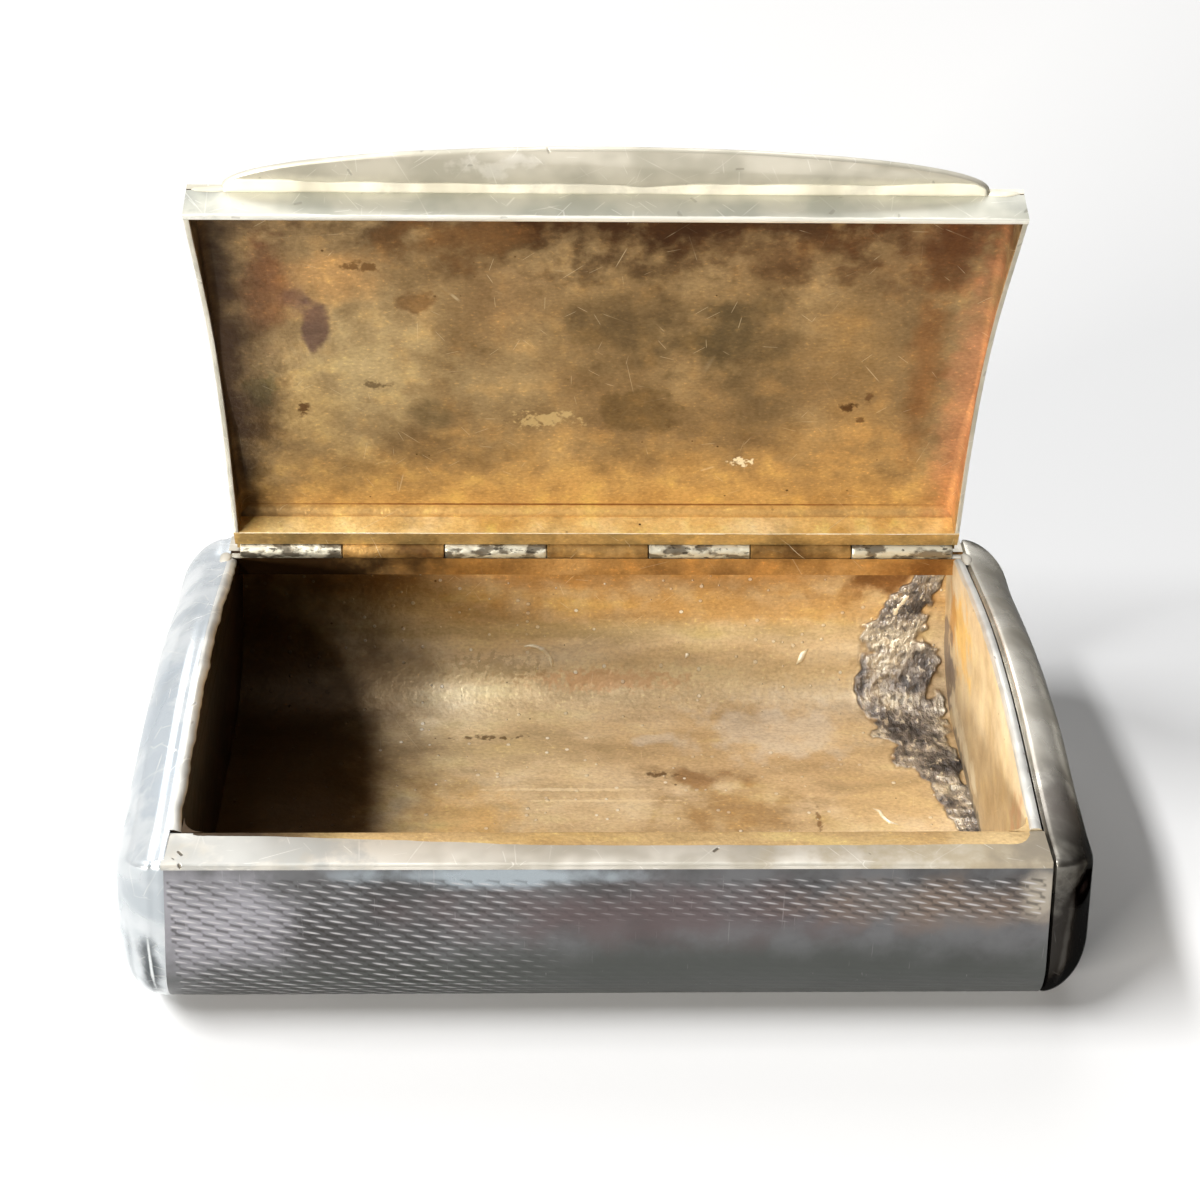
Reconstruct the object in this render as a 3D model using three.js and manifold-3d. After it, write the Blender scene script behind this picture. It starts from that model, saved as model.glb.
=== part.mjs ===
import * as THREE from 'three';
import { mergeVertices } from 'three/addons/utils/BufferGeometryUtils.js';
import Module from 'manifold-3d';

const wasm = await Module();
wasm.setup();

// Driving dimensions in mm: X along the box, Y towards the hinge, Z up
const OPENING_WIDTH = 64.8;
const BODY_DEPTH = 46.0;
const RIM_HEIGHT = 17.6;
const SHEET = 0.7;
const CORNER_RADIUS = 7.5;
const END_SPLAY = 1.3;

// End plates, with the arched edge that bears the lid
const END_PLATE_THICKNESS = 1.1;
const ARCH_RISE = 2.85;
const ARCH_REACH = 1.2;

// Domed end caps
const CAP_BULGE = 4.4;
const CAP_ROUND = 4.2;
const CAP_STEPS = 9;
const CAP_SHEET = 0.8;

// Front rim plate and back joint bar
const FRONT_RIM_WIDTH = 3.9;
const FRONT_RIM_THICKNESS = 0.8;
const JOINT_BAR_HEIGHT = 1.7;
const BACK_LEDGE = 3.3;

// Hinge
const KNUCKLE_RADIUS = 0.75;
const KNUCKLE_COUNT = 7;
const PIN_RADIUS = 0.3;
const AXIS_RISE = 0.5;
const OPEN_ANGLE = 74;

// Lid
const LID_HEIGHT = 3.85;
const LID_SHEET = 0.6;
const LID_WALL = 0.5;
const LID_OVERLAP = 0.3;
const LID_BAR_FRONT = 2.35;
const LID_BAR_BACK = 0.45;
const LIP_REACH = 4.0;
const LIP_HALF_WIDTH = 30.0;

// Clearances
const SEAM = 0.03;
const PIN_CLEARANCE = 0.05;
const KNUCKLE_GAP = 0.08;
const COVE_CLEARANCE = 0.06;
const REST_GAP = 0.1;

// Derived places
const HALF_OPENING = OPENING_WIDTH / 2;
const HALF_DEPTH = BODY_DEPTH / 2;
const FRONT_EDGE = -HALF_DEPTH + FRONT_RIM_WIDTH;
const AXIS_Y = HALF_DEPTH - BACK_LEDGE;
const AXIS_Z = RIM_HEIGHT + AXIS_RISE;
const BACK_EDGE = AXIS_Y - KNUCKLE_RADIUS;
const PLATE_OUTER = HALF_OPENING + END_PLATE_THICKNESS;
const CAP_START = PLATE_OUTER + SEAM;
const SPLAY = END_SPLAY / RIM_HEIGHT;
const COVE_RADIUS = KNUCKLE_RADIUS + COVE_CLEARANCE;
const LID_HALF = HALF_OPENING + LID_OVERLAP;
const LID_FRONT = FRONT_EDGE - LID_WALL;
const LID_UNDER = RIM_HEIGHT + LID_HEIGHT - LID_SHEET;
const ROW_HALF = HALF_OPENING - KNUCKLE_GAP;
const FAR = BODY_DEPTH + OPENING_WIDTH;

const SILVER = { color: 0xb9b6ae, roughness: 0.28, metalness: 1.0 };
const TURNED = { color: 0x8b8d8f, roughness: 0.42, metalness: 1.0 };
const BRIGHT = { color: 0xd6d2c6, roughness: 0.25, metalness: 1.0 };
const GILT = { color: 0xa88348, roughness: 0.45, metalness: 1.0 };
const STEEL = { color: 0x77756f, roughness: 0.4, metalness: 1.0 };

function solid(geometry) {
  const bare = geometry.clone();
  bare.deleteAttribute('normal');
  bare.deleteAttribute('uv');
  const merged = mergeVertices(bare, 1e-5);
  return new wasm.Manifold(new wasm.Mesh({
    numProp: 3,
    vertProperties: new Float32Array(merged.attributes.position.array),
    triVerts: new Uint32Array(merged.index.array),
  }));
}

function surface(body) {
  const mesh = body.getMesh();
  const geometry = new THREE.BufferGeometry();
  geometry.setAttribute('position', new THREE.BufferAttribute(new Float32Array(mesh.vertProperties), 3));
  geometry.setIndex(new THREE.BufferAttribute(new Uint32Array(mesh.triVerts), 1));
  geometry.computeVertexNormals();
  return geometry;
}

// Local x, y, z of a profile become world Y, Z, X
const ALONG_X = new THREE.Matrix4().makeBasis(
  new THREE.Vector3(0, 1, 0), new THREE.Vector3(0, 0, 1), new THREE.Vector3(1, 0, 0));

function bar(shape, x0, x1, segments = 12) {
  const geometry = new THREE.ExtrudeGeometry(shape, { depth: x1 - x0, bevelEnabled: false, curveSegments: segments });
  geometry.translate(0, 0, x0);
  geometry.applyMatrix4(ALONG_X);
  return solid(geometry);
}

function block(x0, x1, y0, y1, z0, z1) {
  const geometry = new THREE.BoxGeometry(x1 - x0, y1 - y0, z1 - z0);
  geometry.translate((x0 + x1) / 2, (y0 + y1) / 2, (z0 + z1) / 2);
  return solid(geometry);
}

function rod(radius, x0, x1, segments = 48) {
  const geometry = new THREE.CylinderGeometry(radius, radius, x1 - x0, segments);
  geometry.rotateZ(Math.PI / 2);
  geometry.translate((x0 + x1) / 2, AXIS_Y, AXIS_Z);
  return solid(geometry);
}

// Leans a right-hand end outward towards the base, about the rim
function splayed(geometry) {
  const lean = new THREE.Matrix4().makeShear(0, 0, 0, 0, -SPLAY, 0);
  geometry.applyMatrix4(lean);
  geometry.translate(SPLAY * RIM_HEIGHT, 0, 0);
  return geometry;
}

function archAt(y) {
  const middle = (FRONT_EDGE + BACK_EDGE) / 2;
  const half = (BACK_EDGE - FRONT_EDGE) / 2 + ARCH_REACH;
  const t = Math.min(1, Math.abs((y - middle) / half));
  return ARCH_RISE * (1 - t * t) ** 1.5;
}

function archPoints(y0, y1, lift, steps = 24) {
  const points = [];
  for (let i = 0; i <= steps; i += 1) {
    const y = y0 + ((y1 - y0) * i) / steps;
    points.push([y, RIM_HEIGHT + archAt(y) + lift]);
  }
  return points;
}

// The end outline of the trough, inset by a margin, up to the given front and back heights
function troughSide(shape, inset, frontTop, backTop) {
  const y = HALF_DEPTH - inset;
  const r = CORNER_RADIUS - inset;
  const c = HALF_DEPTH - CORNER_RADIUS;
  shape.moveTo(-y, frontTop);
  shape.lineTo(-y, CORNER_RADIUS);
  shape.absarc(-c, CORNER_RADIUS, r, Math.PI, Math.PI * 1.5, false);
  shape.lineTo(c, inset);
  shape.absarc(c, CORNER_RADIUS, r, Math.PI * 1.5, Math.PI * 2, false);
  shape.lineTo(y, backTop);
}

function mirrored(body) {
  const geometry = surface(body);
  geometry.applyMatrix4(new THREE.Matrix4().makeScale(-1, 1, 1));
  const index = geometry.index.array;
  for (let i = 0; i < index.length; i += 3) {
    const keep = index[i];
    index[i] = index[i + 1];
    index[i + 1] = keep;
  }
  return solid(geometry);
}

// Trough
const FRONT_SEAT = RIM_HEIGHT - FRONT_RIM_THICKNESS - SEAM;
const BACK_SEAT = RIM_HEIGHT - JOINT_BAR_HEIGHT - SEAM;

function makeTrough() {
  const outer = new THREE.Shape();
  troughSide(outer, 0, FRONT_SEAT, BACK_SEAT);
  const inner = new THREE.Shape();
  troughSide(inner, SHEET, RIM_HEIGHT * 2, RIM_HEIGHT * 2);
  const reach = CAP_START + END_SPLAY;
  const half = bar(outer, -reach * 2, reach * 2).subtract(bar(inner, -reach * 3, reach * 3));
  const slab = new THREE.BoxGeometry(FAR, FAR, FAR);
  slab.translate(CAP_START - SEAM + FAR / 2, 0, 0);
  const right = solid(splayed(slab));
  return half.subtract(right).subtract(mirrored(right));
}

// Flat inner end wall, right-hand
function makeEndPlate() {
  const shape = new THREE.Shape();
  const inset = SHEET + SEAM;
  troughSide(shape, inset, FRONT_SEAT, BACK_SEAT);
  shape.lineTo(BACK_EDGE, BACK_SEAT);
  for (const [y, z] of archPoints(BACK_EDGE, FRONT_EDGE + SEAM, 0)) {
    shape.lineTo(y, z);
  }
  shape.lineTo(FRONT_EDGE + SEAM, FRONT_SEAT);
  const geometry = new THREE.ExtrudeGeometry(shape, {
    depth: END_PLATE_THICKNESS, bevelEnabled: false, curveSegments: 12,
  });
  geometry.translate(0, 0, HALF_OPENING);
  geometry.applyMatrix4(ALONG_X);
  return solid(splayed(geometry));
}

// Draws each section of an extrusion in towards its middle, to a rounded end
function domed(geometry, bulge, round) {
  const position = geometry.attributes.position;
  const middle = (RIM_HEIGHT + ARCH_RISE) / 2;
  for (let i = 0; i < position.count; i += 1) {
    const angle = (position.getZ(i) / bulge) * (Math.PI / 2);
    const inset = angle > 0 ? round * (1 - Math.cos(angle)) : 0;
    const y = position.getX(i) * (1 - inset / HALF_DEPTH);
    const z = middle + (position.getY(i) - middle) * (1 - inset / middle);
    position.setXYZ(i, y, z, bulge * (angle > 0 ? Math.sin(angle) : angle));
  }
  return geometry;
}

// Domed end cap, right-hand
function capForm(inset, bulge, round) {
  const shape = new THREE.Shape();
  troughSide(shape, inset, RIM_HEIGHT - inset, RIM_HEIGHT - inset);
  for (const [y, z] of archPoints(BACK_EDGE + ARCH_REACH, FRONT_EDGE - ARCH_REACH, -inset)) {
    shape.lineTo(y, z);
  }
  const geometry = domed(new THREE.ExtrudeGeometry(shape, {
    depth: bulge, bevelEnabled: false, steps: CAP_STEPS, curveSegments: 12,
  }), bulge, round);
  geometry.translate(0, 0, CAP_START);
  geometry.applyMatrix4(ALONG_X);
  return solid(splayed(geometry));
}

function makeEndCap() {
  const hollow = capForm(CAP_SHEET, CAP_BULGE - CAP_SHEET, CAP_ROUND - SHEET);
  const mouth = new THREE.Shape();
  troughSide(mouth, CAP_SHEET, RIM_HEIGHT - CAP_SHEET, RIM_HEIGHT - CAP_SHEET);
  for (const [y, z] of archPoints(BACK_EDGE + ARCH_REACH, FRONT_EDGE - ARCH_REACH, -CAP_SHEET)) {
    mouth.lineTo(y, z);
  }
  const geometry = new THREE.ExtrudeGeometry(mouth, { depth: CAP_SHEET * 2, bevelEnabled: false, curveSegments: 12 });
  geometry.translate(0, 0, CAP_START - CAP_SHEET * 2 + SEAM);
  geometry.applyMatrix4(ALONG_X);
  return capForm(0, CAP_BULGE, CAP_ROUND).subtract(hollow).subtract(solid(splayed(geometry)));
}

function makeJointBar() {
  const face = AXIS_Y - KNUCKLE_RADIUS * 0.9;
  return block(-PLATE_OUTER, PLATE_OUTER, face, HALF_DEPTH, RIM_HEIGHT - JOINT_BAR_HEIGHT, RIM_HEIGHT)
    .subtract(rod(COVE_RADIUS, -FAR, FAR));
}

function makeKnuckle(index) {
  const pitch = (ROW_HALF * 2) / KNUCKLE_COUNT;
  const x0 = -ROW_HALF + pitch * (index - 1) + KNUCKLE_GAP / 2;
  const x1 = -ROW_HALF + pitch * index - KNUCKLE_GAP / 2;
  return rod(KNUCKLE_RADIUS, x0, x1).subtract(rod(PIN_RADIUS + PIN_CLEARANCE, x0 - 1, x1 + 1, 32));
}

// Lid pieces, drawn shut
function makeLidWall() {
  const shape = new THREE.Shape();
  const y0 = FRONT_EDGE + SEAM;
  const y1 = AXIS_Y - LID_BAR_FRONT - SEAM;
  shape.moveTo(y0, LID_UNDER - SEAM);
  for (const [y, z] of archPoints(y0, y1, REST_GAP)) {
    shape.lineTo(y, z);
  }
  shape.lineTo(y1, LID_UNDER - SEAM);
  return bar(shape, LID_HALF - LID_WALL, LID_HALF);
}

function makeLidBar() {
  return block(-LID_HALF, LID_HALF, AXIS_Y - LID_BAR_FRONT, AXIS_Y + LID_BAR_BACK, AXIS_Z, LID_UNDER - SEAM)
    .subtract(rod(COVE_RADIUS, -FAR, FAR));
}

function makeThumbLip() {
  const shape = new THREE.Shape();
  shape.absellipse(0, 0, LIP_HALF_WIDTH, LIP_REACH, Math.PI, Math.PI * 2, false, 0);
  const geometry = new THREE.ExtrudeGeometry(shape, { depth: LID_SHEET, bevelEnabled: false, curveSegments: 48 });
  geometry.translate(0, LID_FRONT - SEAM, LID_UNDER);
  return solid(geometry);
}

const opening = new THREE.Matrix4()
  .makeTranslation(0, AXIS_Y, AXIS_Z)
  .multiply(new THREE.Matrix4().makeRotationX(THREE.MathUtils.degToRad(-OPEN_ANGLE)))
  .multiply(new THREE.Matrix4().makeTranslation(0, -AXIS_Y, -AXIS_Z));

const assembly = new THREE.Group();
assembly.name = 'silver_snuff_box';

function place(name, body, finish, onLid = false) {
  const geometry = surface(body);
  if (onLid) {
    geometry.applyMatrix4(opening);
  }
  const mesh = new THREE.Mesh(geometry, new THREE.MeshStandardMaterial(finish));
  mesh.name = name;
  assembly.add(mesh);
}

const endPlate = makeEndPlate();
const endCap = makeEndCap();
const lidWall = makeLidWall();

place('body_trough', makeTrough(), TURNED);
place('right_end_cap', endCap, SILVER);
place('left_end_cap', mirrored(endCap), SILVER);
place('right_end_plate', endPlate, GILT);
place('left_end_plate', mirrored(endPlate), GILT);
place('front_rim_plate',
  block(-PLATE_OUTER, PLATE_OUTER, -HALF_DEPTH, FRONT_EDGE, RIM_HEIGHT - FRONT_RIM_THICKNESS, RIM_HEIGHT), BRIGHT);
place('back_joint_bar', makeJointBar(), SILVER);
for (let i = 1; i <= KNUCKLE_COUNT; i += 1) {
  if (i % 2 === 1) {
    place(`body_knuckle_${i}`, makeKnuckle(i), BRIGHT);
  } else {
    place(`lid_knuckle_${i}`, makeKnuckle(i), GILT, true);
  }
}
place('hinge_pin', rod(PIN_RADIUS, -ROW_HALF, ROW_HALF, 32), STEEL);
place('lid_plate', block(-LID_HALF, LID_HALF, LID_FRONT, AXIS_Y + LID_BAR_BACK, LID_UNDER, RIM_HEIGHT + LID_HEIGHT),
  TURNED, true);
place('thumb_lip', makeThumbLip(), BRIGHT, true);
place('lid_front_wall',
  block(-LID_HALF, LID_HALF, LID_FRONT, FRONT_EDGE, RIM_HEIGHT + REST_GAP, LID_UNDER - SEAM), BRIGHT, true);
place('lid_right_wall', lidWall, SILVER, true);
place('lid_left_wall', mirrored(lidWall), SILVER, true);
place('lid_joint_bar', makeLidBar(), GILT, true);

export default assembly;
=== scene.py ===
"""Silver snuff box: fine shapes, finishes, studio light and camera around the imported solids.

Shapes are drawn in millimetres in the part's own frame: X along the box, Y towards the hinge, Z up.
Lid pieces are drawn shut and then swung open to the angle of the photograph.
"""

import logging
import math
from dataclasses import dataclass
from enum import Enum
from typing import Any, Sequence

import bmesh
import bpy
from mathutils import Matrix, Vector, noise


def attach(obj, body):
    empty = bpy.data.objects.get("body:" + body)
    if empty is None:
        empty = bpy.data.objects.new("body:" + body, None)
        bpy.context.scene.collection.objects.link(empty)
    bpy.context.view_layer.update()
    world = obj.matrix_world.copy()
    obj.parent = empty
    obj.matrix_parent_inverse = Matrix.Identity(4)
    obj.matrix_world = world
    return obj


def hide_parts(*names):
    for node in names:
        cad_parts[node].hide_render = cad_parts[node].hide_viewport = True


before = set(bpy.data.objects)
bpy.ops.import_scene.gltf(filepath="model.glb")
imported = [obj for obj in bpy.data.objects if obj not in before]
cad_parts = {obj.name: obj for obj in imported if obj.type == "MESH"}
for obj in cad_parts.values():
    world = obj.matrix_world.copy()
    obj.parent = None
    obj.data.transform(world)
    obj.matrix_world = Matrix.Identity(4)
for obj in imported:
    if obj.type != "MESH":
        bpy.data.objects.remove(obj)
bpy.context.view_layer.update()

MM = 0.001
LOG = logging.getLogger("snuff_box")

Flat = tuple[float, float]
Point = tuple[float, float, float]
Shape = bmesh.types.BMesh
Socket = bpy.types.NodeSocket
Material = bpy.types.Material


class Body(Enum):
    """The two bodies that the hinge joins."""

    BOX = "box"
    LID = "lid"


class Slot(Enum):
    """The record's material slots, one named by each drawn piece."""

    TURNED = "engine_turned_silver"
    POLISHED = "polished_silver"
    GILT = "gilt_silver"
    JOINT = "joint_silver"


class End(Enum):
    """The two ends of the box, as signs along X."""

    LEFT = -1
    RIGHT = 1


# Sizes


@dataclass(frozen=True)
class BoxSizes:
    """Driving sizes in mm, with the places that follow from them."""

    half_opening: float = 32.4
    half_depth: float = 23.0
    rim: float = 17.6
    sheet: float = 0.7
    corner: float = 7.5
    splay: float = 1.3
    plate: float = 1.1
    seam: float = 0.03
    arch_rise: float = 2.85
    arch_reach: float = 1.2
    bulge: float = 4.4
    cap_round: float = 4.2
    front_rim: float = 3.9
    front_rim_thick: float = 0.5
    bar_height: float = 1.7
    ledge: float = 3.3
    knuckle: float = 0.75
    knuckles: int = 7
    knuckle_gap: float = 0.08
    bore: float = 0.35
    axis_rise: float = 0.5
    cove_clearance: float = 0.06
    open_angle: float = 74.0
    lid_height: float = 3.85
    lid_sheet: float = 0.6
    lid_wall: float = 0.5
    lid_overlap: float = 0.3
    lid_bar_front: float = 2.35
    lid_bar_back: float = 0.45
    lip_reach: float = 4.0
    lip_half: float = 30.0
    rest_gap: float = 0.1

    @property
    def front_edge(self) -> float:
        """Y of the opening's front edge."""
        return -self.half_depth + self.front_rim

    @property
    def axis(self) -> Point:
        """A point on the hinge axis."""
        return (0.0, self.half_depth - self.ledge, self.rim + self.axis_rise)

    @property
    def back_edge(self) -> float:
        """Y of the opening's back edge."""
        return self.axis[1] - self.knuckle

    @property
    def plate_outer(self) -> float:
        """X of an end plate's outer face at the rim."""
        return self.half_opening + self.plate

    @property
    def cove(self) -> float:
        """Radius of the coves that the knuckles lie in."""
        return self.knuckle + self.cove_clearance

    @property
    def front_seat(self) -> float:
        """Top of the sheet's front wall."""
        return self.rim - self.front_rim_thick - self.seam

    @property
    def back_seat(self) -> float:
        """Top of the sheet's back wall."""
        return self.rim - self.bar_height - self.seam

    @property
    def lid_half(self) -> float:
        """Half of the lid's length."""
        return self.half_opening + self.lid_overlap

    @property
    def lid_front(self) -> float:
        """Y of the lid's front face when shut."""
        return self.front_edge - self.lid_wall

    @property
    def lid_under(self) -> float:
        """Z of the lid plate's gilt face when shut."""
        return self.rim + self.lid_height - self.lid_sheet

    @property
    def lid_top(self) -> float:
        """Z of the lid plate's outer face when shut."""
        return self.rim + self.lid_height

    def lean(self, z: float) -> float:
        """How far an end leans out at a height."""
        return self.splay * (self.rim - z) / self.rim

    def arch(self, y: float) -> float:
        """Rise of an end's arched edge above the rim.

        Args:
            y: Place from front to back in mm.

        Returns:
            The rise in mm.
        """
        middle = (self.front_edge + self.back_edge) / 2
        half = (self.back_edge - self.front_edge) / 2 + self.arch_reach
        t = min(1.0, abs((y - middle) / half))
        return self.arch_rise * (1 - t * t) ** 1.5


SIZES = BoxSizes()


# Shape helpers

CORNER_STEPS = 4
LUMP_WAVE = 1.3
LUMP_SHIFT = 0.25

# Vector noise starts from the clock unless it has a seed, and every run has to give the same lumps
LUMP_SEED = 1

# How far solder laps into what it joins, in mm
LAP = 0.05


def steps(start: float, end: float, count: int) -> list[float]:
    """Evenly spaced values from start to end.

    Args:
        start: First value.
        end: Last value.
        count: Number of spaces between them.

    Returns:
        count + 1 values.
    """
    return [start + (end - start) * i / count for i in range(count + 1)]


def smooth(low: float, high: float, value: float) -> float:
    """Smooth step from 0 at low to 1 at high.

    Args:
        low: Where the step starts, which may be above high.
        high: Where the step ends.
        value: What is measured.

    Returns:
        A share from 0 to 1.
    """
    t = min(1.0, max(0.0, (value - low) / (high - low)))
    return t * t * (3 - 2 * t)


def arc(centre: Flat, radius: float, start: float, end: float, count: int) -> list[Flat]:
    """Points on a round arc.

    Args:
        centre: Its middle.
        radius: Its radius.
        start: Angle of the first point in degrees.
        end: Angle of the last point.
        count: Number of spaces between the points.

    Returns:
        count + 1 points.
    """
    turns = [math.radians(angle) for angle in steps(start, end, count)]
    return [(centre[0] + radius * math.cos(turn), centre[1] + radius * math.sin(turn)) for turn in turns]


def rounded(low: Flat, high: Flat, radii: Sequence[float]) -> list[Flat]:
    """Outline of a rectangle with round corners, anticlockwise.

    Args:
        low: Lowest corner.
        high: Highest corner.
        radii: Radii of the corners, anticlockwise from the highest.

    Returns:
        The outline's points.
    """
    outline = []
    corners = ((high[0], high[1]), (low[0], high[1]), (low[0], low[1]), (high[0], low[1]))
    for quarter, ((cx, cy), radius) in enumerate(zip(corners, radii)):
        turn = math.radians(90 * quarter + 45)
        ox = cx - math.copysign(radius, math.cos(turn))
        oy = cy - math.copysign(radius, math.sin(turn))
        outline += arc((ox, oy), radius, 90 * quarter, 90 * quarter + 90, CORNER_STEPS)
    return outline


def loft(sections: Sequence[Sequence[Point]]) -> Shape:
    """Draws a closed bar through matching outlines, extruding each one to the next.

    Args:
        sections: Outlines with the same number of points.

    Returns:
        The bar, with its faces pointing out.
    """
    bm = bmesh.new()
    order = bm.verts.layers.int.new("order")
    ring = [bm.verts.new(point) for point in sections[0]]
    for index, vert in enumerate(ring):
        vert[order] = index
    face = bm.faces.new(ring)
    for section in sections[1:]:
        made = bmesh.ops.extrude_face_region(bm, geom=[face, *face.edges])["geom"]
        face = next(part for part in made if isinstance(part, bmesh.types.BMFace))
        for vert in face.verts:
            vert.co = section[vert[order]]
    bmesh.ops.recalc_face_normals(bm, faces=bm.faces)
    return bm


def bar_along(outline: Sequence[Flat], stations: Sequence[float]) -> Shape:
    """Draws a bar along X from one outline in Y and Z.

    Args:
        outline: The bar's section.
        stations: X of each place where the bar has a ring of points.

    Returns:
        The bar.
    """
    return loft([[(x, y, z) for y, z in outline] for x in stations])


def mound(centre: Point, radii: Point, seed: float) -> Shape:
    """Draws a low uneven lump of solder.

    Args:
        centre: Its middle in mm.
        radii: Its reach along X, Y and Z in mm.
        seed: Shifts its unevenness.

    Returns:
        The lump.
    """
    bm = bmesh.new()
    bmesh.ops.create_icosphere(bm, subdivisions=5, radius=1.0)
    bmesh.ops.scale(bm, vec=radii, verts=bm.verts)
    bmesh.ops.translate(bm, vec=centre, verts=bm.verts)
    shift = Vector((seed, 2 * seed, 3 * seed))
    noise.seed_set(LUMP_SEED)
    for vert in bm.verts:
        move = noise.noise_vector(vert.co / LUMP_WAVE + shift)
        vert.co += Vector(LUMP_SHIFT * share * reach for share, reach in zip(move, radii))
    return bm


def swing_open(bm: Shape) -> None:
    """Turns lid shapes, drawn shut, about the hinge axis to the angle of the photograph."""
    turn = Matrix.Rotation(math.radians(-SIZES.open_angle), 3, "X")
    bmesh.ops.rotate(bm, cent=SIZES.axis, matrix=turn, verts=bm.verts)


@dataclass(frozen=True)
class Piece:
    """A named piece, the body it rides on, the solids it stands for and its record slot."""

    name: str
    body: Body
    nodes: tuple[str, ...]
    slot: Slot

    def make(self, bm: Shape, finishes: Sequence[Material], sharp: float = 40.0) -> None:
        """Turns a shape in mm to an object in the frame, riding on its body.

        Args:
            bm: The shape, which is used up.
            finishes: Materials, in the order of the faces' material indices.
            sharp: Angle in degrees past which an edge stays sharp.
        """
        if self.body is Body.LID:
            swing_open(bm)
        bmesh.ops.scale(bm, vec=(MM, MM, MM), verts=bm.verts)
        for face in bm.faces:
            face.smooth = True
        mesh = bpy.data.meshes.new(self.name)
        bm.to_mesh(mesh)
        bm.free()
        mesh.set_sharp_from_angle(angle=math.radians(sharp))
        for finish in finishes:
            mesh.materials.append(finish)
        piece = bpy.data.objects.new(self.name, mesh)
        bpy.context.scene.collection.objects.link(piece)
        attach(piece, self.body.value)
        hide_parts(*self.nodes)
        LOG.info("%s: %d faces", self.name, len(mesh.polygons))


# Finishes

SCUFF_TONE = "#f4e3bb"
BRIGHTER = "#fff4dc"
CRUST = "crust"
CUT = "cut"

# A stain whose least reach in mm is under this one has finer breaks in its edge
FINE_STAIN = 1.2

# Scratches, as the space for each, its length and its width in mm, and a seed.
# Real ones are 0.01 to 0.02 mm wide, too fine to show, so these are drawn as coarse as they need to be.
SCUFFS = ((2.2, 1.5, 0.05, 31.0), (4.5, 3.2, 0.05, 47.0), (12.0, 9.0, 0.06, 53.0))
HAIRLINES = ((1.6, 1.5, 0.06, 2.0), (4.0, 4.4, 0.06, 7.0), (9.0, 11.0, 0.08, 13.0))
NICKS = (2.6, 0.8, 0.2, 43.0)


def linear(colour: str) -> tuple[float, float, float, float]:
    """Turns an sRGB hex value to a linear colour.

    Args:
        colour: A hash sign and six hex digits.

    Returns:
        Red, green and blue shares with full alpha.
    """
    shares = [int(colour[i:i + 2], 16) / 255 for i in (1, 3, 5)]
    red, green, blue = (c / 12.92 if c <= 0.04045 else ((c + 0.055) / 1.055) ** 2.4 for c in shares)
    return (red, green, blue, 1.0)


def add(tree: bpy.types.NodeTree, kind: str, inputs: dict[int | str, Any] | None = None,
        stops: Sequence[tuple[float, str]] = (), **settings: Any) -> bpy.types.Node:
    """Adds a node with its settings, values and links.

    Args:
        tree: The node tree.
        kind: The node's type, without its ShaderNode prefix.
        inputs: Values by socket. A socket is linked, a hex colour turned to linear, the rest set as it is.
        stops: Places and hex colours of a colour ramp.
        settings: Other properties of the node.

    Returns:
        The node.
    """
    node = tree.nodes.new("ShaderNode" + kind)
    for name, value in settings.items():
        setattr(node, name, value)
    for key, value in (inputs or {}).items():
        if isinstance(value, Socket):
            tree.links.new(value, node.inputs[key])
        else:
            node.inputs[key].default_value = linear(value) if isinstance(value, str) else value
    if stops:
        elements = node.color_ramp.elements
        while len(elements) < len(stops):
            elements.new(1.0)
        for element, (place, colour) in zip(elements, stops):
            element.position = place
            element.color = linear(colour)
    return node


@dataclass(frozen=True)
class Stain:
    """A ragged blotch of another colour, at a real place.

    Attributes:
        centre: Its middle in mm.
        radii: Its reach along X, Y and Z in mm.
        colour: Its colour.
        strength: How far it covers what is under it.
        ragged: How much noise breaks up its edge.
        dull: What it adds to the roughness.
        soft: Share of its reach over which it fades.
        shine: What it adds to the share that shines as metal.
    """

    centre: Point
    radii: Point
    colour: str
    strength: float = 0.8
    ragged: float = 0.5
    dull: float = 0.1
    soft: float = 0.5
    shine: float = 0.0


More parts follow.
